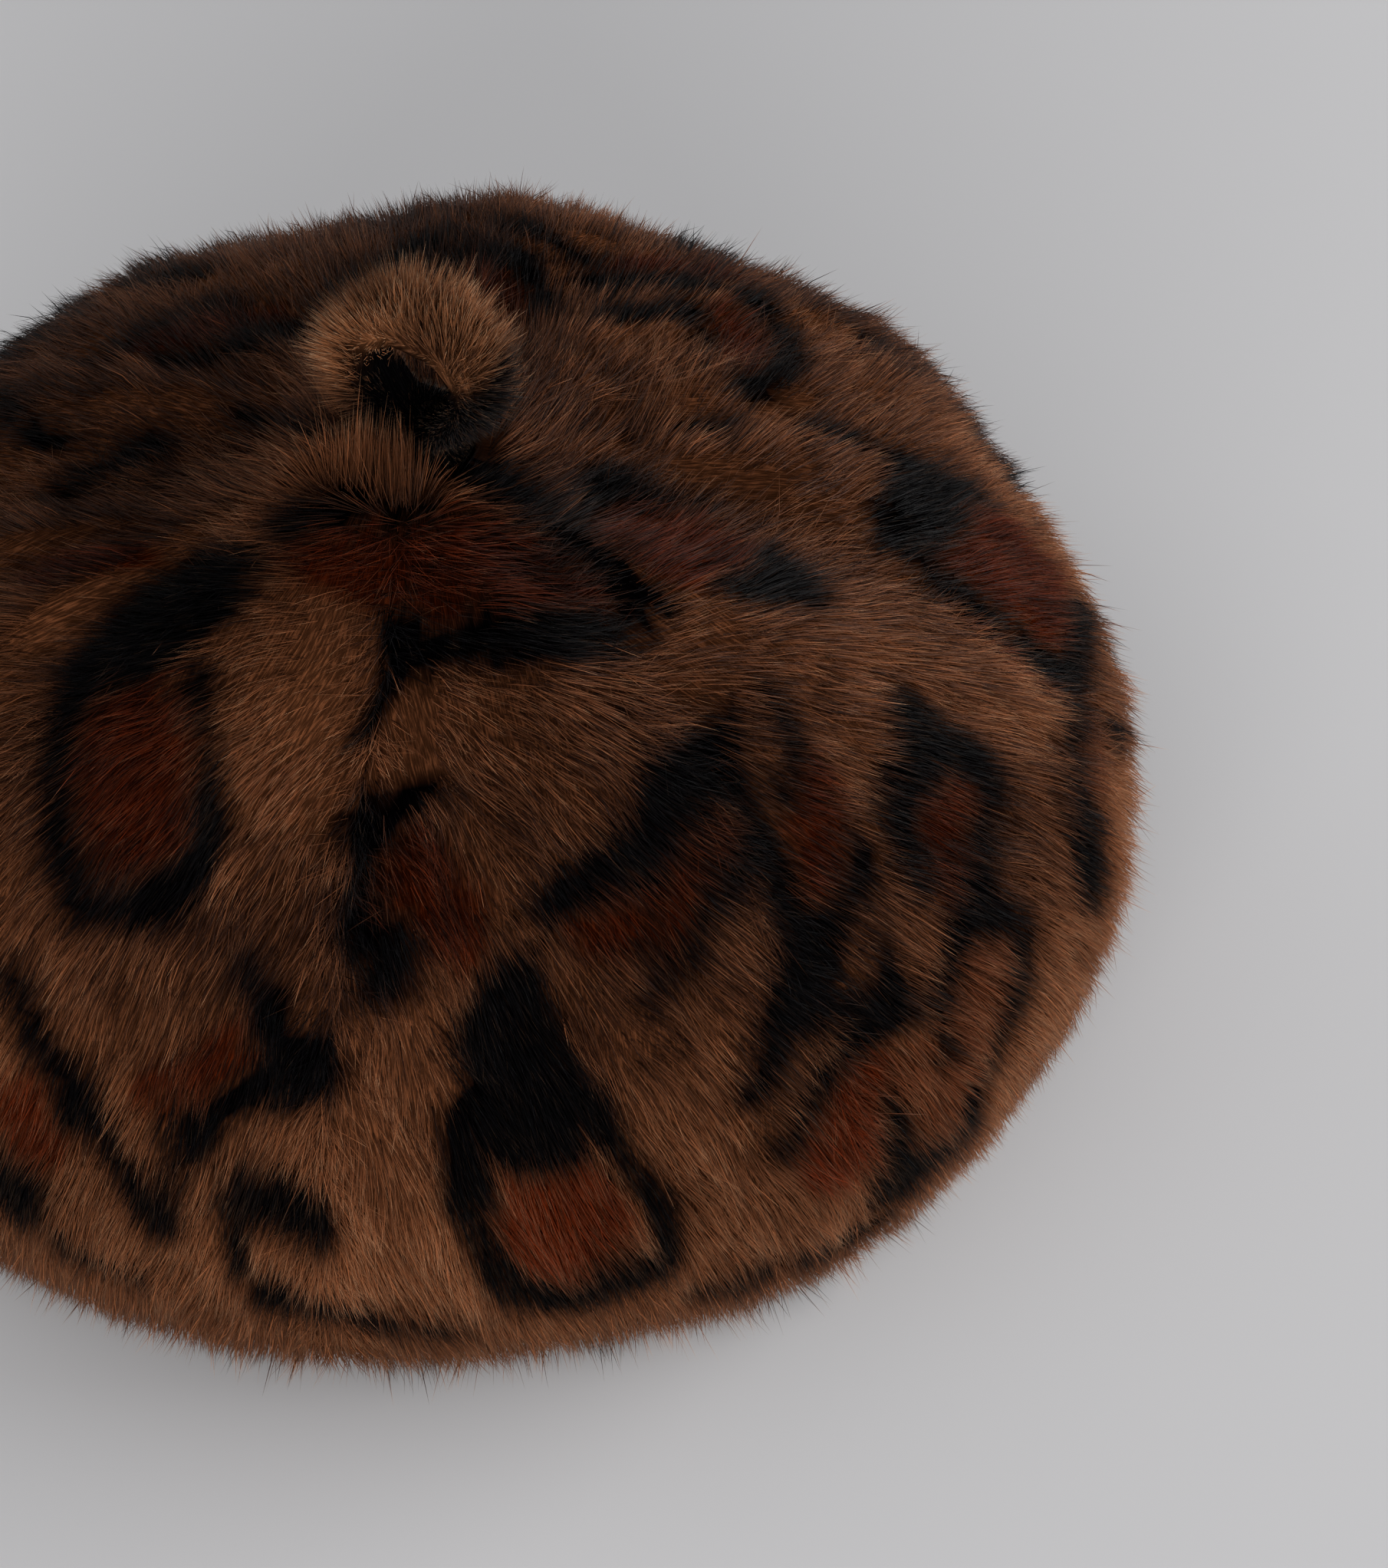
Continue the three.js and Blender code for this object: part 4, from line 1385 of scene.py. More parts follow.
def merged_copy(node: str, name: str) -> bpy.types.Object:
    """Copies a CAD node's loose triangles into a new joined mesh.

    Args:
        node: name of the CAD node.
        name: name of the copy.

    Returns:
        The copy.
    """
    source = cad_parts[node]
    piece = bpy.data.objects.new(name, source.data.copy())
    bpy.context.scene.collection.objects.link(piece)
    piece.data.materials.clear()
    worked_on(piece)
    bpy.ops.object.mode_set(mode="EDIT")
    bpy.ops.mesh.select_all(action="SELECT")
    bpy.ops.mesh.remove_doubles(threshold=1e-5)
    bpy.ops.object.mode_set(mode="OBJECT")
    return piece


def carried(piece: bpy.types.Object, slot: str, *nodes: str) -> None:
    """Puts a piece on the body, in place of CAD nodes."""
    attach(piece, BODY)
    if nodes:
        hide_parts(*nodes)
    LOG.info("%s: %d triangles", piece.name, len(piece.data.loops) - 2 * len(piece.data.polygons))


@dataclass(frozen=True)
class Crease:
    """A shallow crease that runs down the cloth, with its azimuth in degrees and sizes in metres."""

    azimuth: float
    start: float
    end: float
    depth: float
    width: float


CREASES = (
    Crease(-62, 0.020, 0.100, 0.0026, 0.0050),
    Crease(-78, 0.022, 0.110, 0.0030, 0.0060),
    Crease(-92, 0.020, 0.095, 0.0028, 0.0055),
    Crease(-108, 0.024, 0.090, 0.0024, 0.0060),
    Crease(-128, 0.026, 0.080, 0.0022, 0.0060),
    Crease(158, 0.030, 0.100, 0.0024, 0.0070),
    Crease(112, 0.030, 0.095, 0.0022, 0.0070),
    Crease(70, 0.022, 0.075, 0.0020, 0.0055),
    Crease(14, 0.045, 0.100, 0.0014, 0.0080),
)
NAP_AT = (0.035, 0.050, 0.065, 0.080, 0.105, 0.140, 0.190)
NAP = {
    1: (66, 56, 42, 30, 25, 21, 20),
    2: (62, 66, 56, 24, 14, 15, 22),
    3: (50, 46, 36, 28, 26, 16, 14),
    4: (20, 16, 10, 8, 6, 6, 6),
    5: (8, 4, 0, 0, 0, 0, 0),
    6: (-10, -8, -4, -4, -2, 0, 0),
    7: (-34, -26, -34, -28, -16, -10, -8),
    8: (-50, -32, -20, -13, -10, -11, -9),
}


@dataclass(frozen=True)
class Growth:
    """How a gore's pile grows: counts, lengths and widths in metres, angles in degrees.

    The lift is the hairs' angle off the cloth, sway and stray turn them sideways, and bend is
    the turn at their knee, which lies at a share of their length.
    """

    straight: int = 26000
    bent: int = 2900
    length: float = 0.0110
    length_spread: float = 0.0017
    guard_share: float = 0.6
    guard_length: float = 0.0135
    guard_length_spread: float = 0.0022
    shortest: float = 0.006
    longest: float = 0.017
    longest_at_hem: float = 0.0140
    width: float = 0.00024
    root_height: float = -0.005
    lift: float = 25.0
    guard_lift: float = 25.0
    lift_spread: float = 4.0
    sway: float = 4.0
    lock_sway: float = 7.0
    lock_lift: float = 4.0
    stray: float = 4.5
    seam_lift: float = 8.0
    tuft_lift: float = 22.0
    least_lift: float = 12.0
    most_lift: float = 86.0
    bend: float = 14.0
    bend_spread: float = 5.0
    knee: float = 0.52


@dataclass
class CrownGore:
    """One sewn gore of the crown: its cloth shell and its pile.

    Its cloth laps under the loop's foot and behind the hem band, by lap_top and lap_hem as shares
    of the profile, so that nothing shows through between them. The fur before the loop stands up
    in a tuft, between front_start and front_end down the cloth, in metres, around front_azimuth.
    """

    number: int
    form: CrownForm
    coat: Coat
    growth: Growth = Growth()
    columns: int = 20
    rows: int = 46
    bed_height: float = -0.0035
    wall: float = 0.0075
    seam_gap: float = 0.00004
    lap_top: float = 0.0093
    lap_hem: float = 0.014
    seam_cover: float = 0.0022
    seam_stray: float = 24.0
    parting: float = 0.0035
    tuft_reach: float = 0.030
    front_start: tuple[float, float] = (0.009, 0.013)
    front_end: tuple[float, float] = (0.0195, 0.0235)
    front_azimuth: float = -28.0
    front_half_width: float = 38.0
    front_growth: float = 0.35
    print_reach: tuple[float, float] = (0.5, 0.85)
    # Painted light: fur on and above the rim is made lighter, standing in for the light that falls on the rim.
    rim_painted_light: float = 0.62
    sway_wave: Wave = Wave(11, 0.11)
    lock_wave: Wave = Wave(12, 0.011)
    rise_wave: Wave = Wave(13, 0.012)
    tone_wave: Wave = Wave(14, 0.045)
    print_wave: Wave = Wave(15, 0.016)

    @property
    def start(self) -> float:
        """Azimuth of the gore's first seam, in radians."""
        return self.form.front_seam + (self.number - 1) * self.form.gore_angle

    @property
    def node(self) -> str:
        """Name of the CAD node that the gore stands for."""
        return f"crown_gore_{self.number}"

    def creased(self, azimuth: np.ndarray, share: np.ndarray, height: float) -> np.ndarray:
        """Gives places on the crown with its shallow creases pressed in.

        Args:
            azimuth: azimuths, in radians.
            share: shares of the way down the profile.
            height: distance off the form, outwards, in metres.

        Returns:
            One row of coordinates for each place.
        """
        radius, _ = self.form.outline(share)
        along = share * self.form.length
        moved = np.zeros(len(azimuth))
        for crease in CREASES:
            off = azimuth - math.radians(crease.azimuth)
            across = np.arctan2(np.sin(off), np.cos(off)) * radius
            ends = smooth_between(along, crease.start - 0.012, crease.start + 0.008)
            ends = ends * (1 - smooth_between(along, crease.end - 0.03, crease.end))
            moved -= crease.depth * ends * np.exp(-((across / crease.width) ** 2))
            moved += 0.45 * crease.depth * ends * np.exp(-(((np.abs(across) / crease.width - 1.9) / 0.8) ** 2))
        return self.form.surface(azimuth, share, height + moved)

    def printed(
        self, azimuth: np.ndarray, along: np.ndarray, places: np.ndarray, rng: np.random.Generator
    ) -> np.ndarray:
        """Reads the print with the wander of a real one, and adds the tone.

        Args:
            azimuth: azimuths, in radians.
            along: distances down the cloth, in metres.
            places: the same places in space.
            rng: the gore's random draws.

        Returns:
            Shares of black and of rust and the tone, one row each.
        """
        radius, _ = self.form.outline(along / self.form.length)
        wander = self.print_wave.at(places) * 0.0011
        stray = rng.normal(0, 0.0006, (2, len(azimuth)))
        azimuth = azimuth + (wander + stray[0]) / np.maximum(radius, 0.01)
        along = along + self.print_wave.at(places + 0.05) * 0.0011 + stray[1] * 1.6
        black, rust = self.coat.ink(azimuth, along)
        tone = 0.25 + 0.10 * self.tone_wave.at(places) + 0.08 * self.lock_wave.at(places + 0.02)
        tone = np.clip(tone + rng.normal(0, 0.23, len(azimuth)), 0, 1)
        return np.stack([black, rust, tone], axis=-1)

    def shell(self, bed: bpy.types.Material, backing: bpy.types.Material) -> bpy.types.Object:
        """Builds the gore's cloth with the short fur on it, as a closed wall.

        Args:
            bed: finish of the fur side.
            backing: finish of the inner side.

        Returns:
            The piece, which replaces the CAD gore.
        """
        nothing_selected()
        bpy.ops.mesh.primitive_grid_add(x_subdivisions=self.columns, y_subdivisions=self.rows, size=1)
        piece = bpy.context.active_object
        piece.name = piece.data.name = f"gore_{self.number}_cloth"
        mesh = piece.data
        flat = vertex_places(mesh) + [0.5, 0.5, 0]
        azimuth = self.start + flat[:, 0] * self.form.gore_angle
        lowest, highest = self.form.hem + self.lap_hem, self.form.top - self.lap_top
        share = lowest - flat[:, 1] * (lowest - highest)
        place_vertices(mesh, self.creased(azimuth, share, self.bed_height))
        places = self.form.surface(azimuth, share)
        rng = np.random.default_rng(100 + self.number)
        ink = self.printed(azimuth, share * self.form.length, places, rng)
        ink[:, 2] = np.clip(0.45 + 0.15 * self.tone_wave.at(places), 0, 1)
        coated(mesh, np.concatenate([ink, np.ones((len(ink), 1))], axis=1))
        self.unroll(mesh, azimuth, share)
        mesh.materials.append(bed)
        mesh.materials.append(backing)
        inner = {"offset": -1, "material_offset": 1, "material_offset_rim": 0}
        finish_modifier(piece, "SOLIDIFY", thickness=self.wall, use_even_offset=True, **inner)
        self.trim_to_seams(mesh)
        smoothed(mesh)
        return piece

    def unroll(self, mesh: bpy.types.Mesh, azimuth: np.ndarray, share: np.ndarray) -> None:
        """Writes the UV map "cloth": metres around and down the cloth.

        Args:
            mesh: the flat grid's mesh.
            azimuth: azimuth of each vertex.
            share: share of each vertex.
        """
        radius, _ = self.form.outline(share)
        middle = self.start + self.form.gore_angle / 2
        cloth = np.stack([(azimuth - middle) * np.maximum(radius, 0.05), share * self.form.length], axis=-1)
        if mesh.uv_layers:
            mesh.uv_layers[0].name = "cloth"
        map_cloth(mesh, cloth)

    def trim_to_seams(self, mesh: bpy.types.Mesh) -> None:
        """Keeps the wall inside its two seam planes, half a stitch clear of each.

        Args:
            mesh: the gore's mesh.
        """
        places = vertex_places(mesh) - np.array(self.form.middle)
        for angle, side in ((self.start, 1), (self.start + self.form.gore_angle, -1)):
            inward = np.array([math.cos(angle), math.sin(angle), 0]) * side
            short = self.seam_gap - places @ inward
            front = places @ np.array([math.sin(angle), -math.cos(angle), 0]) > 0
            places += np.where(front & (short > 0), short, 0)[:, None] * inward
        place_vertices(mesh, places + np.array(self.form.middle))

    def rooted(self, count: int, rng: np.random.Generator) -> tuple[np.ndarray, np.ndarray]:
        """Spreads roots evenly over the gore's cloth.

        Args:
            count: number of roots.
            rng: the gore's random draws.

        Returns:
            Azimuths in radians and shares of the way down.
        """
        order = np.arange(count)
        across = (order * 0.7548776662 + rng.uniform(0, 1) + rng.normal(0, 0.25 / math.sqrt(count), count)) % 1
        down = (order * 0.5698402910 + rng.uniform(0, 1) + rng.normal(0, 0.25 / math.sqrt(count), count)) % 1
        steps = np.linspace(self.form.top - 0.004, self.form.hem - 0.002, 400)
        radius, _ = self.form.outline(steps)
        area = np.cumsum(radius)
        area = (area - area[0]) / (area[-1] - area[0])
        share = np.interp(down, area, steps)
        radius, _ = self.form.outline(share)
        over = self.seam_cover / np.maximum(radius, 0.02)
        return self.start - over + across * (self.form.gore_angle + 2 * over), share

    def front_tuft(self, azimuth: np.ndarray, along: np.ndarray) -> np.ndarray:
        """Gives how far places belong to the tuft before the loop.

        Args:
            azimuth: azimuths, in radians.
            along: distances down the cloth, in metres.

        Returns:
            Shares from 0 to 1.
        """
        within = smooth_between(along, *self.front_start) * (1 - smooth_between(along, *self.front_end))
        off = (np.degrees(azimuth) - self.front_azimuth + 180) % 360 - 180
        return within * np.exp(-((off / self.front_half_width) ** 4))

    def hairs(self, count: int, guards: bool, rng: np.random.Generator) -> Hairs:
        """Grows hairs on the gore.

        Args:
            count: number of hairs.
            guards: whether a share of them are long guard hairs.
            rng: the gore's random draws.

        Returns:
            The hairs.
        """
        form, growth = self.form, self.growth
        azimuth, share = self.rooted(count, rng)
        down, around, normal = form.directions(azimuth, share)
        root = self.creased(azimuth, share, growth.root_height)
        guard = (rng.uniform(0, 1, count) < growth.guard_share) & guards
        length = rng.normal(growth.length, growth.length_spread, count)
        plain = np.clip(length, growth.shortest, growth.longest)
        length = np.where(guard, rng.normal(growth.guard_length, growth.guard_length_spread, count), plain)
        tuft = 1 - smooth_between(share * form.length, 0.014, self.tuft_reach)
        seam = form.from_seam(azimuth, share)
        beside = np.exp(-((seam / self.parting) ** 2))
        front = self.front_tuft(azimuth, share * form.length)
        length = length * (1 + self.front_growth * front)
        yaw = np.interp(share * form.length, NAP_AT, NAP[self.number]) * (1 - 0.5 * tuft)
        yaw = yaw + growth.sway * self.sway_wave.at(root) + growth.lock_sway * self.lock_wave.at(root)
        yaw = yaw + rng.normal(0, 1, count) * (growth.stray + self.seam_stray * beside)
        lift = growth.lift + growth.lock_lift * self.rise_wave.at(root) + rng.normal(0, growth.lift_spread, count)
        lift = np.where(guard, lift + growth.guard_lift - growth.lift, lift)
        lift = lift + growth.seam_lift * beside + growth.tuft_lift * tuft
        yaw, lift = np.radians(yaw), np.radians(np.clip(lift, growth.least_lift, growth.most_lift))
        flow = turned(down, around, yaw)
        heading = turned(flow, normal, lift)
        standing = unit(normal * 0.35 - down * 0.3 + np.array([0, 0, 0.9]))
        heading = unit(heading * (1 - front)[:, None] + standing * front[:, None])
        lower = smooth_between(share, form.rim - 0.02, form.hem)[:, None]
        outward = unit(np.stack([np.sin(azimuth), -np.cos(azimuth), 0 * azimuth], axis=-1))
        hanging = unit(outward * 0.25 + flow * 0.85 + normal * 0.26 + np.array([0, 0, -0.16]))
        heading = unit(heading * (1 - lower * 0.8) + hanging * lower * 0.8)
        capped = np.where(lower[:, 0] > 0.5, np.minimum(length, growth.longest_at_hem), length)
        length = capped * (1 - 0.12 * lower[:, 0])
        bend = np.radians(rng.normal(growth.bend, growth.bend_spread, count)) * (1 - 0.6 * tuft)
        middle = root + heading * (length * growth.knee)[:, None]
        end = unit(heading * np.cos(bend)[:, None] - normal * np.sin(bend)[:, None] + rng.normal(0, 0.06, (count, 3)))
        tip = middle + end * (length * (1 - growth.knee))[:, None]
        for points in (middle, tip):
            kept_off_floor(points, FLOOR_GAP, outward, 0.8)
        radius, _ = form.outline(share)
        ink = []
        for reach in self.print_reach:
            slide = reach * length * np.cos(lift) * (1 - front)
            seen = azimuth + slide * np.sin(yaw) / np.maximum(radius, 0.01)
            ink.append(self.printed(seen, share * form.length + slide * np.cos(yaw), root, rng))
        ink = np.stack(ink, axis=1)
        # Painted light: the tone is raised near the rim, which lightens the hairs and their pale tips there.
        painted_rim_light = self.rim_painted_light * smooth_between(share, form.rim - 0.22, form.rim + 0.02)
        ink[..., 2] = np.clip(ink[:, :1, 2] + painted_rim_light[:, None] + 0.3 * front[:, None], 0, 1)
        ink[..., 0] *= (1 - 0.9 * front)[:, None]
        width = growth.width * rng.uniform(0.75, 1.3, count) * np.where(guard, 0.85, 1)
        return Hairs(root, middle, tip, width, ink)

    def pile(self, material: bpy.types.Material) -> bpy.types.Object:
        """Grows the gore's pile as one mesh.

        Args:
            material: finish of the hairs.

        Returns:
            The piece.
        """
        pelt = Pelt(f"gore_{self.number}_pile", 200 + self.number)
        pelt.add(self.hairs(self.growth.straight, False, pelt.rng), bent=False)
        pelt.add(self.hairs(self.growth.bent, True, pelt.rng), bent=True)
        return pelt.build(material)


def triangle_corners(mesh: bpy.types.Mesh) -> np.ndarray:
    """Gives the vertex numbers of a mesh's triangles, one row each."""
    mesh.calc_loop_triangles()
    corners = np.empty(len(mesh.loop_triangles) * 3, dtype=np.int32)
    mesh.loop_triangles.foreach_get("vertices", corners)
    return corners.reshape(-1, 3)


def face_roots(
    mesh: bpy.types.Mesh, count: int, keep: np.ndarray, rng: np.random.Generator
) -> tuple[np.ndarray, np.ndarray]:
    """Spreads roots over a mesh's faces by area.

    Args:
        mesh: the mesh.
        count: number of roots.
        keep: how thickly each triangle is covered, from 0.
        rng: random draws.

    Returns:
        Places and outward unit directions of the roots.
    """
    corners = triangle_corners(mesh)
    places = vertex_places(mesh)
    normals = np.empty(len(mesh.vertices) * 3, dtype=np.float32)
    mesh.vertex_normals.foreach_get("vector", normals)
    normals = normals.reshape(-1, 3)
    points = places[corners]
    area = np.linalg.norm(np.cross(points[:, 1] - points[:, 0], points[:, 2] - points[:, 0]), axis=1) * keep
    chosen = rng.choice(len(corners), count, p=area / area.sum())
    share = rng.uniform(0, 1, (count, 2))
    over = share.sum(axis=1) > 1
    share[over] = 1 - share[over]
    weights = np.concatenate([1 - share.sum(axis=1, keepdims=True), share], axis=1)
    root = np.einsum("nc,ncd->nd", weights, points[chosen])
    out = unit(np.einsum("nc,ncd->nd", weights, normals[corners[chosen]]))
    return root, out


def triangle_places(mesh: bpy.types.Mesh) -> tuple[np.ndarray, np.ndarray]:
    """Gives the middle and the outward unit direction of each of a mesh's triangles."""
    points = vertex_places(mesh)[triangle_corners(mesh)]
    return points.mean(axis=1), unit(np.cross(points[:, 1] - points[:, 0], points[:, 2] - points[:, 0]))


@dataclass
class HemBand:
    """The band under the crown's rim: its folded fur strip and its fringe of hairs."""

    form: CrownForm
    coat: Coat
    straight: int = 12000
    bent: int = 3000
    length: float = 0.0090
    length_spread: float = 0.0021
    length_reach: tuple[float, float] = (0.003, 0.014)
    root_depth: float = 0.0015
    floor_spread: float = 0.0012
    # Share of black ink painted on the fringe as shade under the rim and near the floor.
    shade: float = 0.70
    drawn_in: float = 0.0036
    width: float = 0.00027
    seed: int = 31
    lock_wave: Wave = Wave(32, 0.012)

    def strip(self, bed: bpy.types.Material) -> bpy.types.Object:
        """Softens the CAD band into the folded strip.

        Args:
            bed: finish of the strip.

        Returns:
            The piece, which replaces the CAD band.
        """
        piece = merged_copy("hem_band", "hem_strip")
        mesh = piece.data
        finish_modifier(piece, "SMOOTH", factor=0.5, iterations=3)
        places = vertex_places(mesh)
        flat = (places - np.array(self.form.middle)) * [1, 1, 0]
        reach = np.linalg.norm(flat, axis=1)
        places -= unit(flat) * (self.drawn_in * smooth_between(reach, 0.098, 0.109))[:, None]
        places[:, 2] = np.maximum(places[:, 2], FLOOR_GAP)
        place_vertices(mesh, places)
        tone = np.clip(0.4 + 0.2 * self.lock_wave.at(places), 0, 1)
        # The strip is inked 0.55 black all over, partly for the band's own darker fur and partly as painted shade
        # under the rim.
        coated(mesh, np.stack([np.full(len(places), 0.55), tone * 0, tone, tone * 0 + 1], axis=-1))
        self.unroll(mesh, places)
        dress_strip(mesh, bed)
        return piece

    def unroll(self, mesh: bpy.types.Mesh, places: np.ndarray) -> None:
        """Writes the UV map "cloth" around and across the strip."""
        middle = places - np.array(self.form.middle)
        angle = np.arctan2(middle[:, 0], -middle[:, 1])
        reach = np.hypot(middle[:, 0], middle[:, 1])
        cloth = np.stack([angle * 0.11, reach + middle[:, 2]], axis=-1)
        map_cloth(mesh, cloth)

    def hairs(self, strip: bpy.types.Object, count: int, rng: np.random.Generator) -> Hairs:
        """Grows hairs on the strip's outer side.

        Args:
            strip: the strip that they grow on.
            count: number of hairs.
            rng: random draws.

        Returns:
            The hairs.
        """
        centre, facing = triangle_places(strip.data)
        flat = centre - np.array(self.form.middle)
        reach = np.hypot(flat[:, 0], flat[:, 1])
        outer = (flat[:, :2] * facing[:, :2]).sum(axis=1) / reach
        thin = np.where((reach > 0.093) & (facing[:, 2] < -0.5), 0.3, 0.0)
        keep = np.where((reach > 0.096) & (outer > 0.05), 1.0, thin)
        root, out = face_roots(strip.data, count, keep, rng)
        flat = (root - np.array(self.form.middle)) * [1, 1, 0]
        outward = unit(flat)
        around = np.stack([-outward[:, 1], outward[:, 0], 0 * outward[:, 0]], axis=-1)
        root = root - out * self.root_depth
        sway = 0.22 * self.lock_wave.at(root) + rng.normal(0, 0.12, count)
        heading = unit(outward * 0.55 + out * 0.25 + around * sway[:, None] + [0, 0, -0.5])
        heading = unit(heading + rng.normal(0, 0.08, (count, 3)))
        length = np.clip(rng.normal(self.length, self.length_spread, count), *self.length_reach)
        middle = root + heading * (length * 0.5)[:, None]
        tip = middle + unit(heading + [0, 0, -0.25]) * (length * 0.5)[:, None]
        for points in (middle, tip):
            kept_off_floor(points, FLOOR_GAP + rng.uniform(0, self.floor_spread, count), outward, 0.7)
        tone = np.clip(0.5 + 0.15 * self.lock_wave.at(root + 0.03) + rng.normal(0, 0.22, count), 0, 1)
        azimuth = np.arctan2(flat[:, 0], -flat[:, 1]) + rng.normal(0, 0.012, count)
        along = self.form.hem * self.form.length + (self.form.hem_height - root[:, 2]) + rng.normal(0, 0.0012, count)
        black, rust = self.coat.ink(azimuth, along)
        # Painted shade: fringe hairs are inked towards black, fully below 3 mm and not at all above 9 mm, where shade
        # falls under the rim.
        shade = np.clip(self.shade + 0.35 * self.lock_wave.at(root * 0.4) + rng.normal(0, 0.15, count), 0, 1)
        shade = shade * (1 - smooth_between(root[:, 2], 0.003, 0.009))
        ink = np.repeat(np.stack([np.maximum(black, shade), rust, tone], axis=-1)[:, None], 2, axis=1)
        return Hairs(root, middle, tip, self.width * rng.uniform(0.75, 1.3, count), ink)

    def fringe(self, strip: bpy.types.Object, material: bpy.types.Material) -> bpy.types.Object:
        """Grows the strip's fringe as one mesh.

        Args:
            strip: the strip that it grows on.
            material: finish of the hairs.

        Returns:
            The piece.
        """
        pelt = Pelt("hem_fringe", self.seed)
        pelt.add(self.hairs(strip, self.straight, pelt.rng), bent=False)
        pelt.add(self.hairs(strip, self.bent, pelt.rng), bent=True)
        return pelt.build(material)


@dataclass
class CrownLoop:
    """The stand-up loop at the crown's middle: its folded strip and its pile."""

    straight: int = 12000
    bent: int = 1500
    length: float = 0.0080
    length_spread: float = 0.0017
    length_reach: tuple[float, float] = (0.004, 0.014)
    root_depth: float = 0.0015
    mouth_middle: tuple[float, float] = (0.0036, 0.1425)
    mouth_reach: tuple[float, float] = (0.0108, 0.0072)
    pile_share: float = 0.20
    width: float = 0.00022
    fan_from: tuple[float, float, float] = (0.0, 0.0, 0.132)
    opening: tuple[float, float, float] = (0.0, 0.0, 0.1415)
    turn: float = math.radians(-29)
    seed: int = 41
    lock_wave: Wave = Wave(42, 0.010)

    def black_end_and_mouth_shade(self, places: np.ndarray) -> np.ndarray:
        """Gives the share of black on the loop: the printed black low on its right end, and the painted shade of its
        front mouth.

        Args:
            places: places on the loop.

        Returns:
            Shares from 0 to 1.
        """
        along = places[:, 0] * math.cos(self.turn) + places[:, 1] * math.sin(self.turn)
        high = 0.145 + 0.5 * (along - 0.008)
        low_end = smooth_between(along, 0.004, 0.009) * (1 - smooth_between(places[:, 2], high - 0.004, high + 0.003))
        return np.maximum(low_end, self.mouth(places))

    def mouth(self, places: np.ndarray, spread: float = 1.0) -> np.ndarray:
        """Gives how far places lie in the loop's front mouth, which is painted black as shade.

        Args:
            places: places on the loop.
            spread: how much wider than the mouth the painted shade reaches.

        Returns:
            Shares from 0 to 1.
        """
        along = places[:, 0] * math.cos(self.turn) + places[:, 1] * math.sin(self.turn)
        front = places[:, 0] * math.sin(self.turn) - places[:, 1] * math.cos(self.turn)
        (middle, foot), (wide, high) = self.mouth_middle, self.mouth_reach
        off = np.hypot((along - middle) / wide, np.maximum(places[:, 2] - foot, 0) / high) / spread
        return (1 - smooth_between(off, 0.75, 1.15)) * smooth_between(front, -0.009, -0.005)

    def strip(self, bed: bpy.types.Material) -> bpy.types.Object:
        """Softens the CAD loop into the folded strip.

        Args:
            bed: finish of the strip.

        Returns:
            The piece, which replaces the CAD loop.
        """
        piece = merged_copy("crown_loop", "loop_strip")
        mesh = piece.data
        finish_modifier(piece, "SMOOTH", factor=0.5, iterations=4)
        places = vertex_places(mesh)
        drawn_in = 1 - self.pile_share * smooth_between(places[:, 2], 0.118, 0.130)[:, None]
        places = np.array(self.opening) + (places - np.array(self.opening)) * drawn_in
        place_vertices(mesh, places)
        tone = np.clip(0.4 + 0.2 * self.lock_wave.at(places), 0, 1)
        # Painted shade: the strip is inked black over the mouth, wider than on the hairs.
        black = np.maximum(self.black_end_and_mouth_shade(places), self.mouth(places, 1.25))
        coated(mesh, np.stack([black, tone * 0, tone, tone * 0 + 1], axis=-1))
        map_cloth(mesh, np.stack([places[:, 0] + places[:, 1], places[:, 2]], axis=-1))
        dress_strip(mesh, bed)
        return piece

    def hairs(self, strip: bpy.types.Object, count: int, rng: np.random.Generator) -> Hairs:
        """Grows hairs that fan out from the loop's opening.

        Args:
            strip: the strip that they grow on.
            count: number of hairs.
            rng: random draws.

        Returns:
            The hairs.
        """
        centre, facing = triangle_places(strip.data)
        away = centre - np.array(self.opening)
        inner = (unit(away) * facing).sum(axis=1)
        keep = np.where(centre[:, 2] > 0.118, np.where(inner > -0.2, 1.0, 0.6), 0.1) * (1 + self.mouth(centre))
        root, out = face_roots(strip.data, count, keep, rng)
        fan = unit(root - np.array(self.fan_from))
        root = root - out * self.root_depth
        across = np.array([math.cos(self.turn), math.sin(self.turn), 0])
        sway = 0.12 * self.lock_wave.at(root) + rng.normal(0, 0.1, count)
        through = np.array([math.sin(self.turn), -math.cos(self.turn), 0])
        side = np.sign((root - np.array(self.opening)) @ through)
        hidden = 1 - smooth_between((fan * out).sum(axis=1), -0.5, 0.2)
        brow = smooth_between(root[:, 1], 0.004, -0.004) * smooth_between(root[:, 2], 0.144, 0.150)
        outwards, fanned = (0.42 - 0.17 * brow)[:, None], (0.9 - 0.5 * hidden)[:, None]
        heading = unit(out * outwards + fan * fanned + across * sway[:, None])
        heading = heading + np.stack([0 * brow, 0 * brow, 0.15 + 0.5 * brow], axis=-1)
        heading = unit(heading + through * (side * 0.5 * hidden)[:, None])
        heading = unit(heading + rng.normal(0, 0.09, (count, 3)))
        length = np.clip(rng.normal(self.length, self.length_spread, count), *self.length_reach)
        length = length * (1 - 0.45 * hidden)
        length = length * (1 - 0.5 * self.mouth(root)) * (0.5 + 0.5 * smooth_between(root[:, 2], 0.128, 0.139))
        middle = root + heading * (length * 0.5)[:, None]
        tip = middle + unit(heading + [0, 0, -0.12] + rng.normal(0, 0.08, (count, 3))) * (length * 0.5)[:, None]
        tone = np.clip(0.55 + 0.15 * self.lock_wave.at(root + 0.03) + rng.normal(0, 0.17, count), 0, 1)
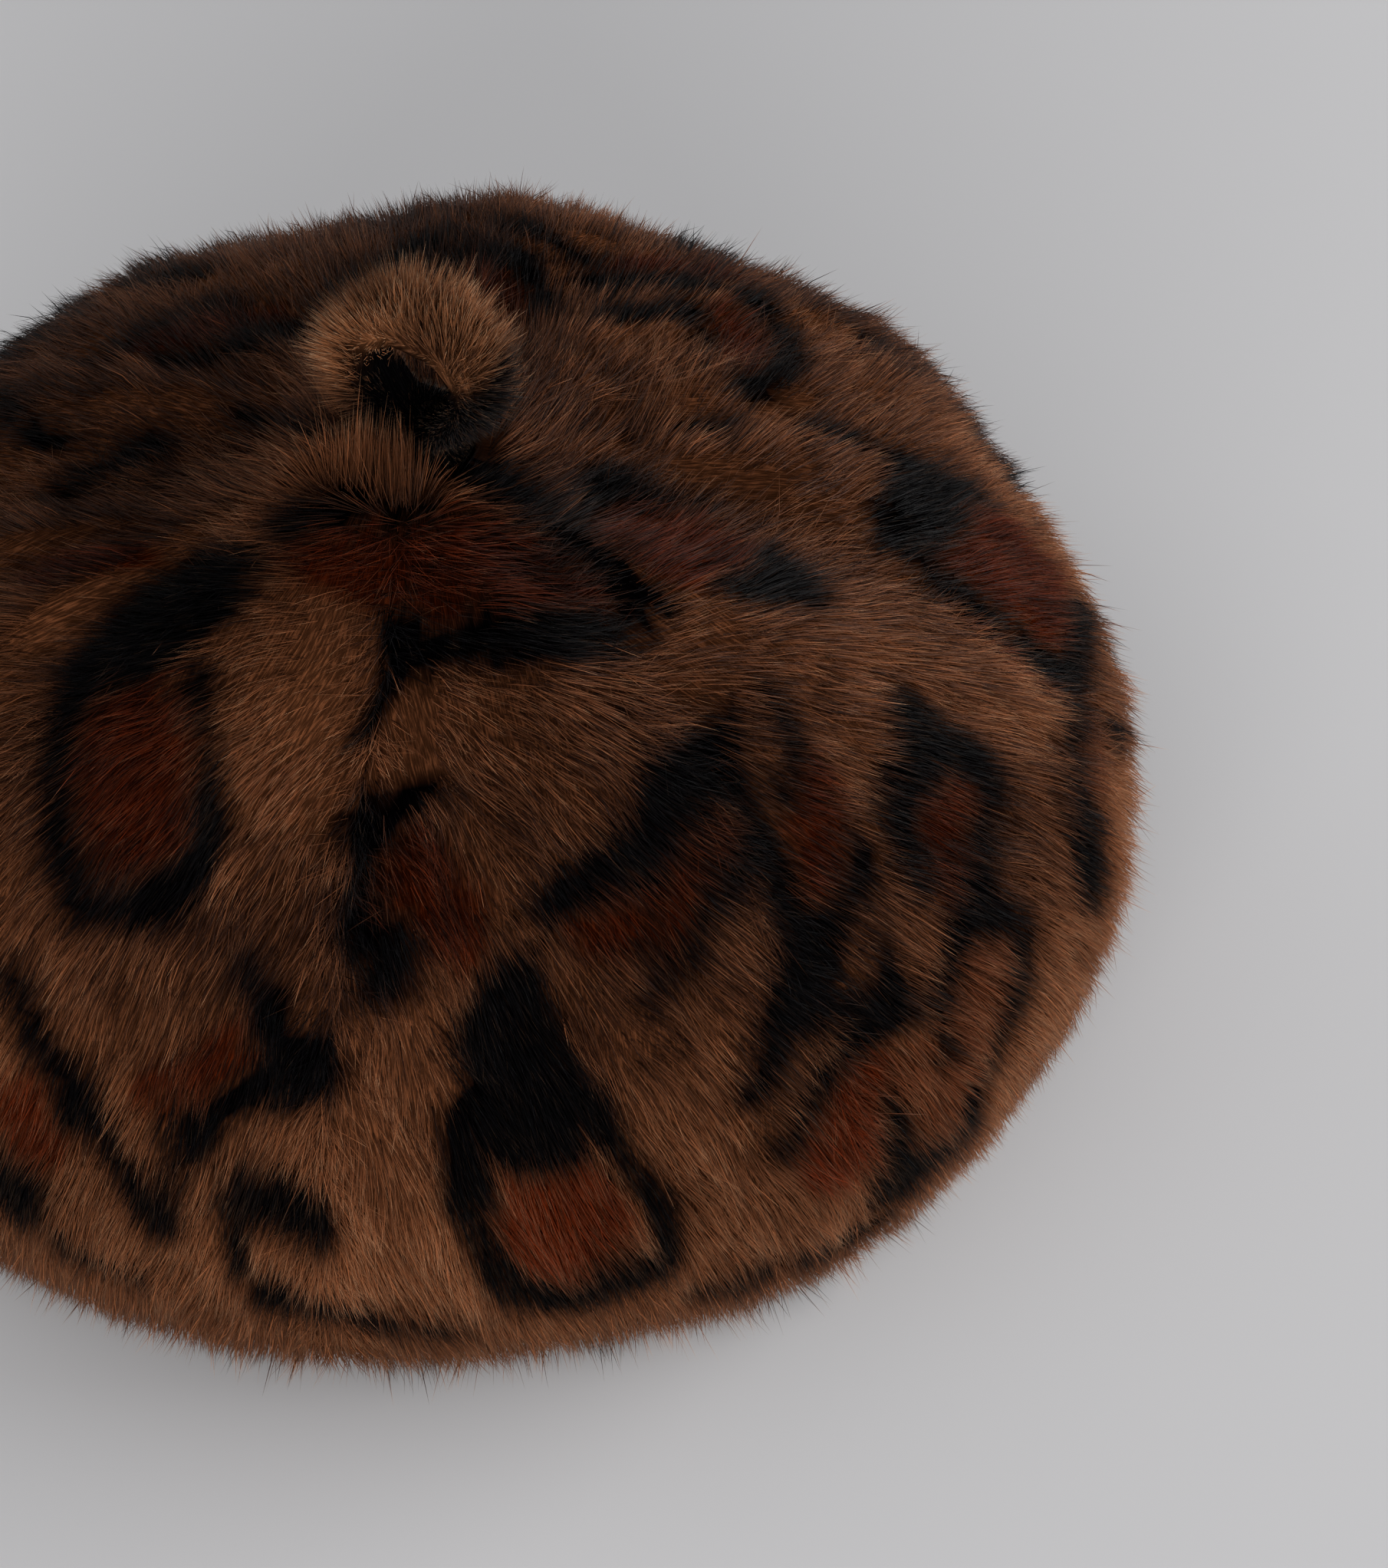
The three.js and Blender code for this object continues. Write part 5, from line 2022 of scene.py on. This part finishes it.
        # The printed black end and the painted mouth shade, with a little random spread.
        black = np.clip(self.black_end_and_mouth_shade(root) + rng.normal(0, 0.08, count), 0, 1)
        ink = np.repeat(np.stack([black, 0 * tone, tone], axis=-1)[:, None], 2, axis=1)
        return Hairs(root, middle, tip, self.width * rng.uniform(0.75, 1.3, count), ink)

    def pile(self, strip: bpy.types.Object, material: bpy.types.Material) -> bpy.types.Object:
        """Grows the loop's pile as one mesh.

        Args:
            strip: the strip that it grows on.
            material: finish of the hairs.

        Returns:
            The piece.
        """
        pelt = Pelt("loop_pile", self.seed)
        pelt.add(self.hairs(strip, self.straight, pelt.rng), bent=False)
        pelt.add(self.hairs(strip, self.bent, pelt.rng), bent=True)
        return pelt.build(material)


LAMPS = (
    ("front window", (-0.1, -3.0, 0.72), (3.2, 1.2), 140.0),
    ("side window", (2.6, 0.7, 0.55), (2.4, 0.9), 98.0),
    ("back window", (-2.2, 1.5, 0.9), (2.4, 1.4), 15.0),
)


@dataclass
class Studio:
    """The floor, the lights and the camera."""

    elevation: float = math.radians(46.99)
    distance: float = 0.9406
    aim: tuple[float, float, float] = (0.04979, -0.01807, 0.05)
    lens: float = 6400 / 2044 * 36
    floor_size: float = 8.0
    floor_light: Colour = tint(200, 199, 200)
    floor_dark: Colour = tint(193, 192, 193)
    sky: Colour = (0.97, 0.98, 1.0, 1.0)
    sky_strength: float = 0.44

    def floor(self) -> bpy.types.Object:
        """Lays the plain pale floor.

        Returns:
            The floor.
        """
        nothing_selected()
        bpy.ops.mesh.primitive_plane_add(size=self.floor_size)
        floor = bpy.context.active_object
        floor.name = "studio_floor"
        material, recipe = empty_material("studio floor")
        place = recipe.node("ShaderNodeTexCoord")
        cloud = recipe.noise(place.outputs["Object"], 3.0, 4.0)
        recipe.surface(recipe.mixed(cloud, self.floor_dark, self.floor_light), 0.9, 0.1)
        floor.data.materials.append(material)
        return floor

    def lamp(self, name: str, place: tuple[float, float, float], size: tuple[float, float], power: float) -> None:
        """Hangs a soft light that faces the beret.

        Args:
            name: name of the light.
            place: where it hangs.
            size: its width and height.
            power: power in watts.
        """
        light = bpy.data.lights.new(name, "AREA")
        light.shape = "RECTANGLE"
        light.size, light.size_y = size
        light.energy = power
        lamp = bpy.data.objects.new(name, light)
        bpy.context.scene.collection.objects.link(lamp)
        lamp.location = place
        facing = Vector((0, 0, 0.06)) - lamp.location
        lamp.rotation_euler = facing.to_track_quat("-Z", "Y").to_euler()

    def light(self) -> None:
        """Sets the even studio light and the large lights."""
        world = bpy.data.worlds.new("studio")
        bpy.context.scene.world = world
        world.use_nodes = True
        background = world.node_tree.nodes["Background"]
        background.inputs["Color"].default_value = self.sky
        background.inputs["Strength"].default_value = self.sky_strength
        for name, place, size, power in LAMPS:
            self.lamp(name, place, size, power)
        bpy.context.scene.view_settings.view_transform = "Standard"
        bpy.context.scene.view_settings.look = "None"

    def camera(self) -> None:
        """Sets the camera at the photograph's angle above the floor."""
        data = bpy.data.cameras.new("camera")
        data.lens = self.lens
        data.sensor_width = 36
        data.clip_start = 0.01
        camera = bpy.data.objects.new("camera", data)
        bpy.context.scene.collection.objects.link(camera)
        aim = Vector(self.aim)
        camera.location = aim + Vector((0, -math.cos(self.elevation), math.sin(self.elevation))) * self.distance
        camera.rotation_euler = (aim - camera.location).to_track_quat("-Z", "Y").to_euler()
        bpy.context.scene.camera = camera


def main() -> None:
    """Builds the beret piece by piece, then the studio around it."""
    logging.basicConfig(level=logging.INFO, format="%(name)s: %(message)s")
    printed, knit = printed_hair_group(), knit_group()
    form = CrownForm()
    coat = Coat(form)
    crown_hairs, crown_bed = CROWN_FUR.hairs(printed), CROWN_FUR.bed(printed)
    backing = BACKING.material(knit)
    for number in range(1, len(form.gores) + 1):
        gore = CrownGore(number, form, coat)
        carried(gore.shell(crown_bed, backing), "crown_fur", gore.node)
        carried(gore.pile(crown_hairs), "crown_fur")
    band = HemBand(form, coat)
    strip = band.strip(HEM_FUR.bed(printed))
    carried(strip, "hem_fur", "hem_band")
    carried(band.fringe(strip, HEM_FUR.hairs(printed)), "hem_fur")
    loop = CrownLoop()
    fold = loop.strip(LOOP_FUR.bed(printed))
    carried(fold, "loop_fur", "crown_loop")
    carried(loop.pile(fold, LOOP_FUR.hairs(printed)), "loop_fur")
    studio = Studio()
    studio.floor()
    studio.light()
    studio.camera()


if __name__ == "__main__":
    main()
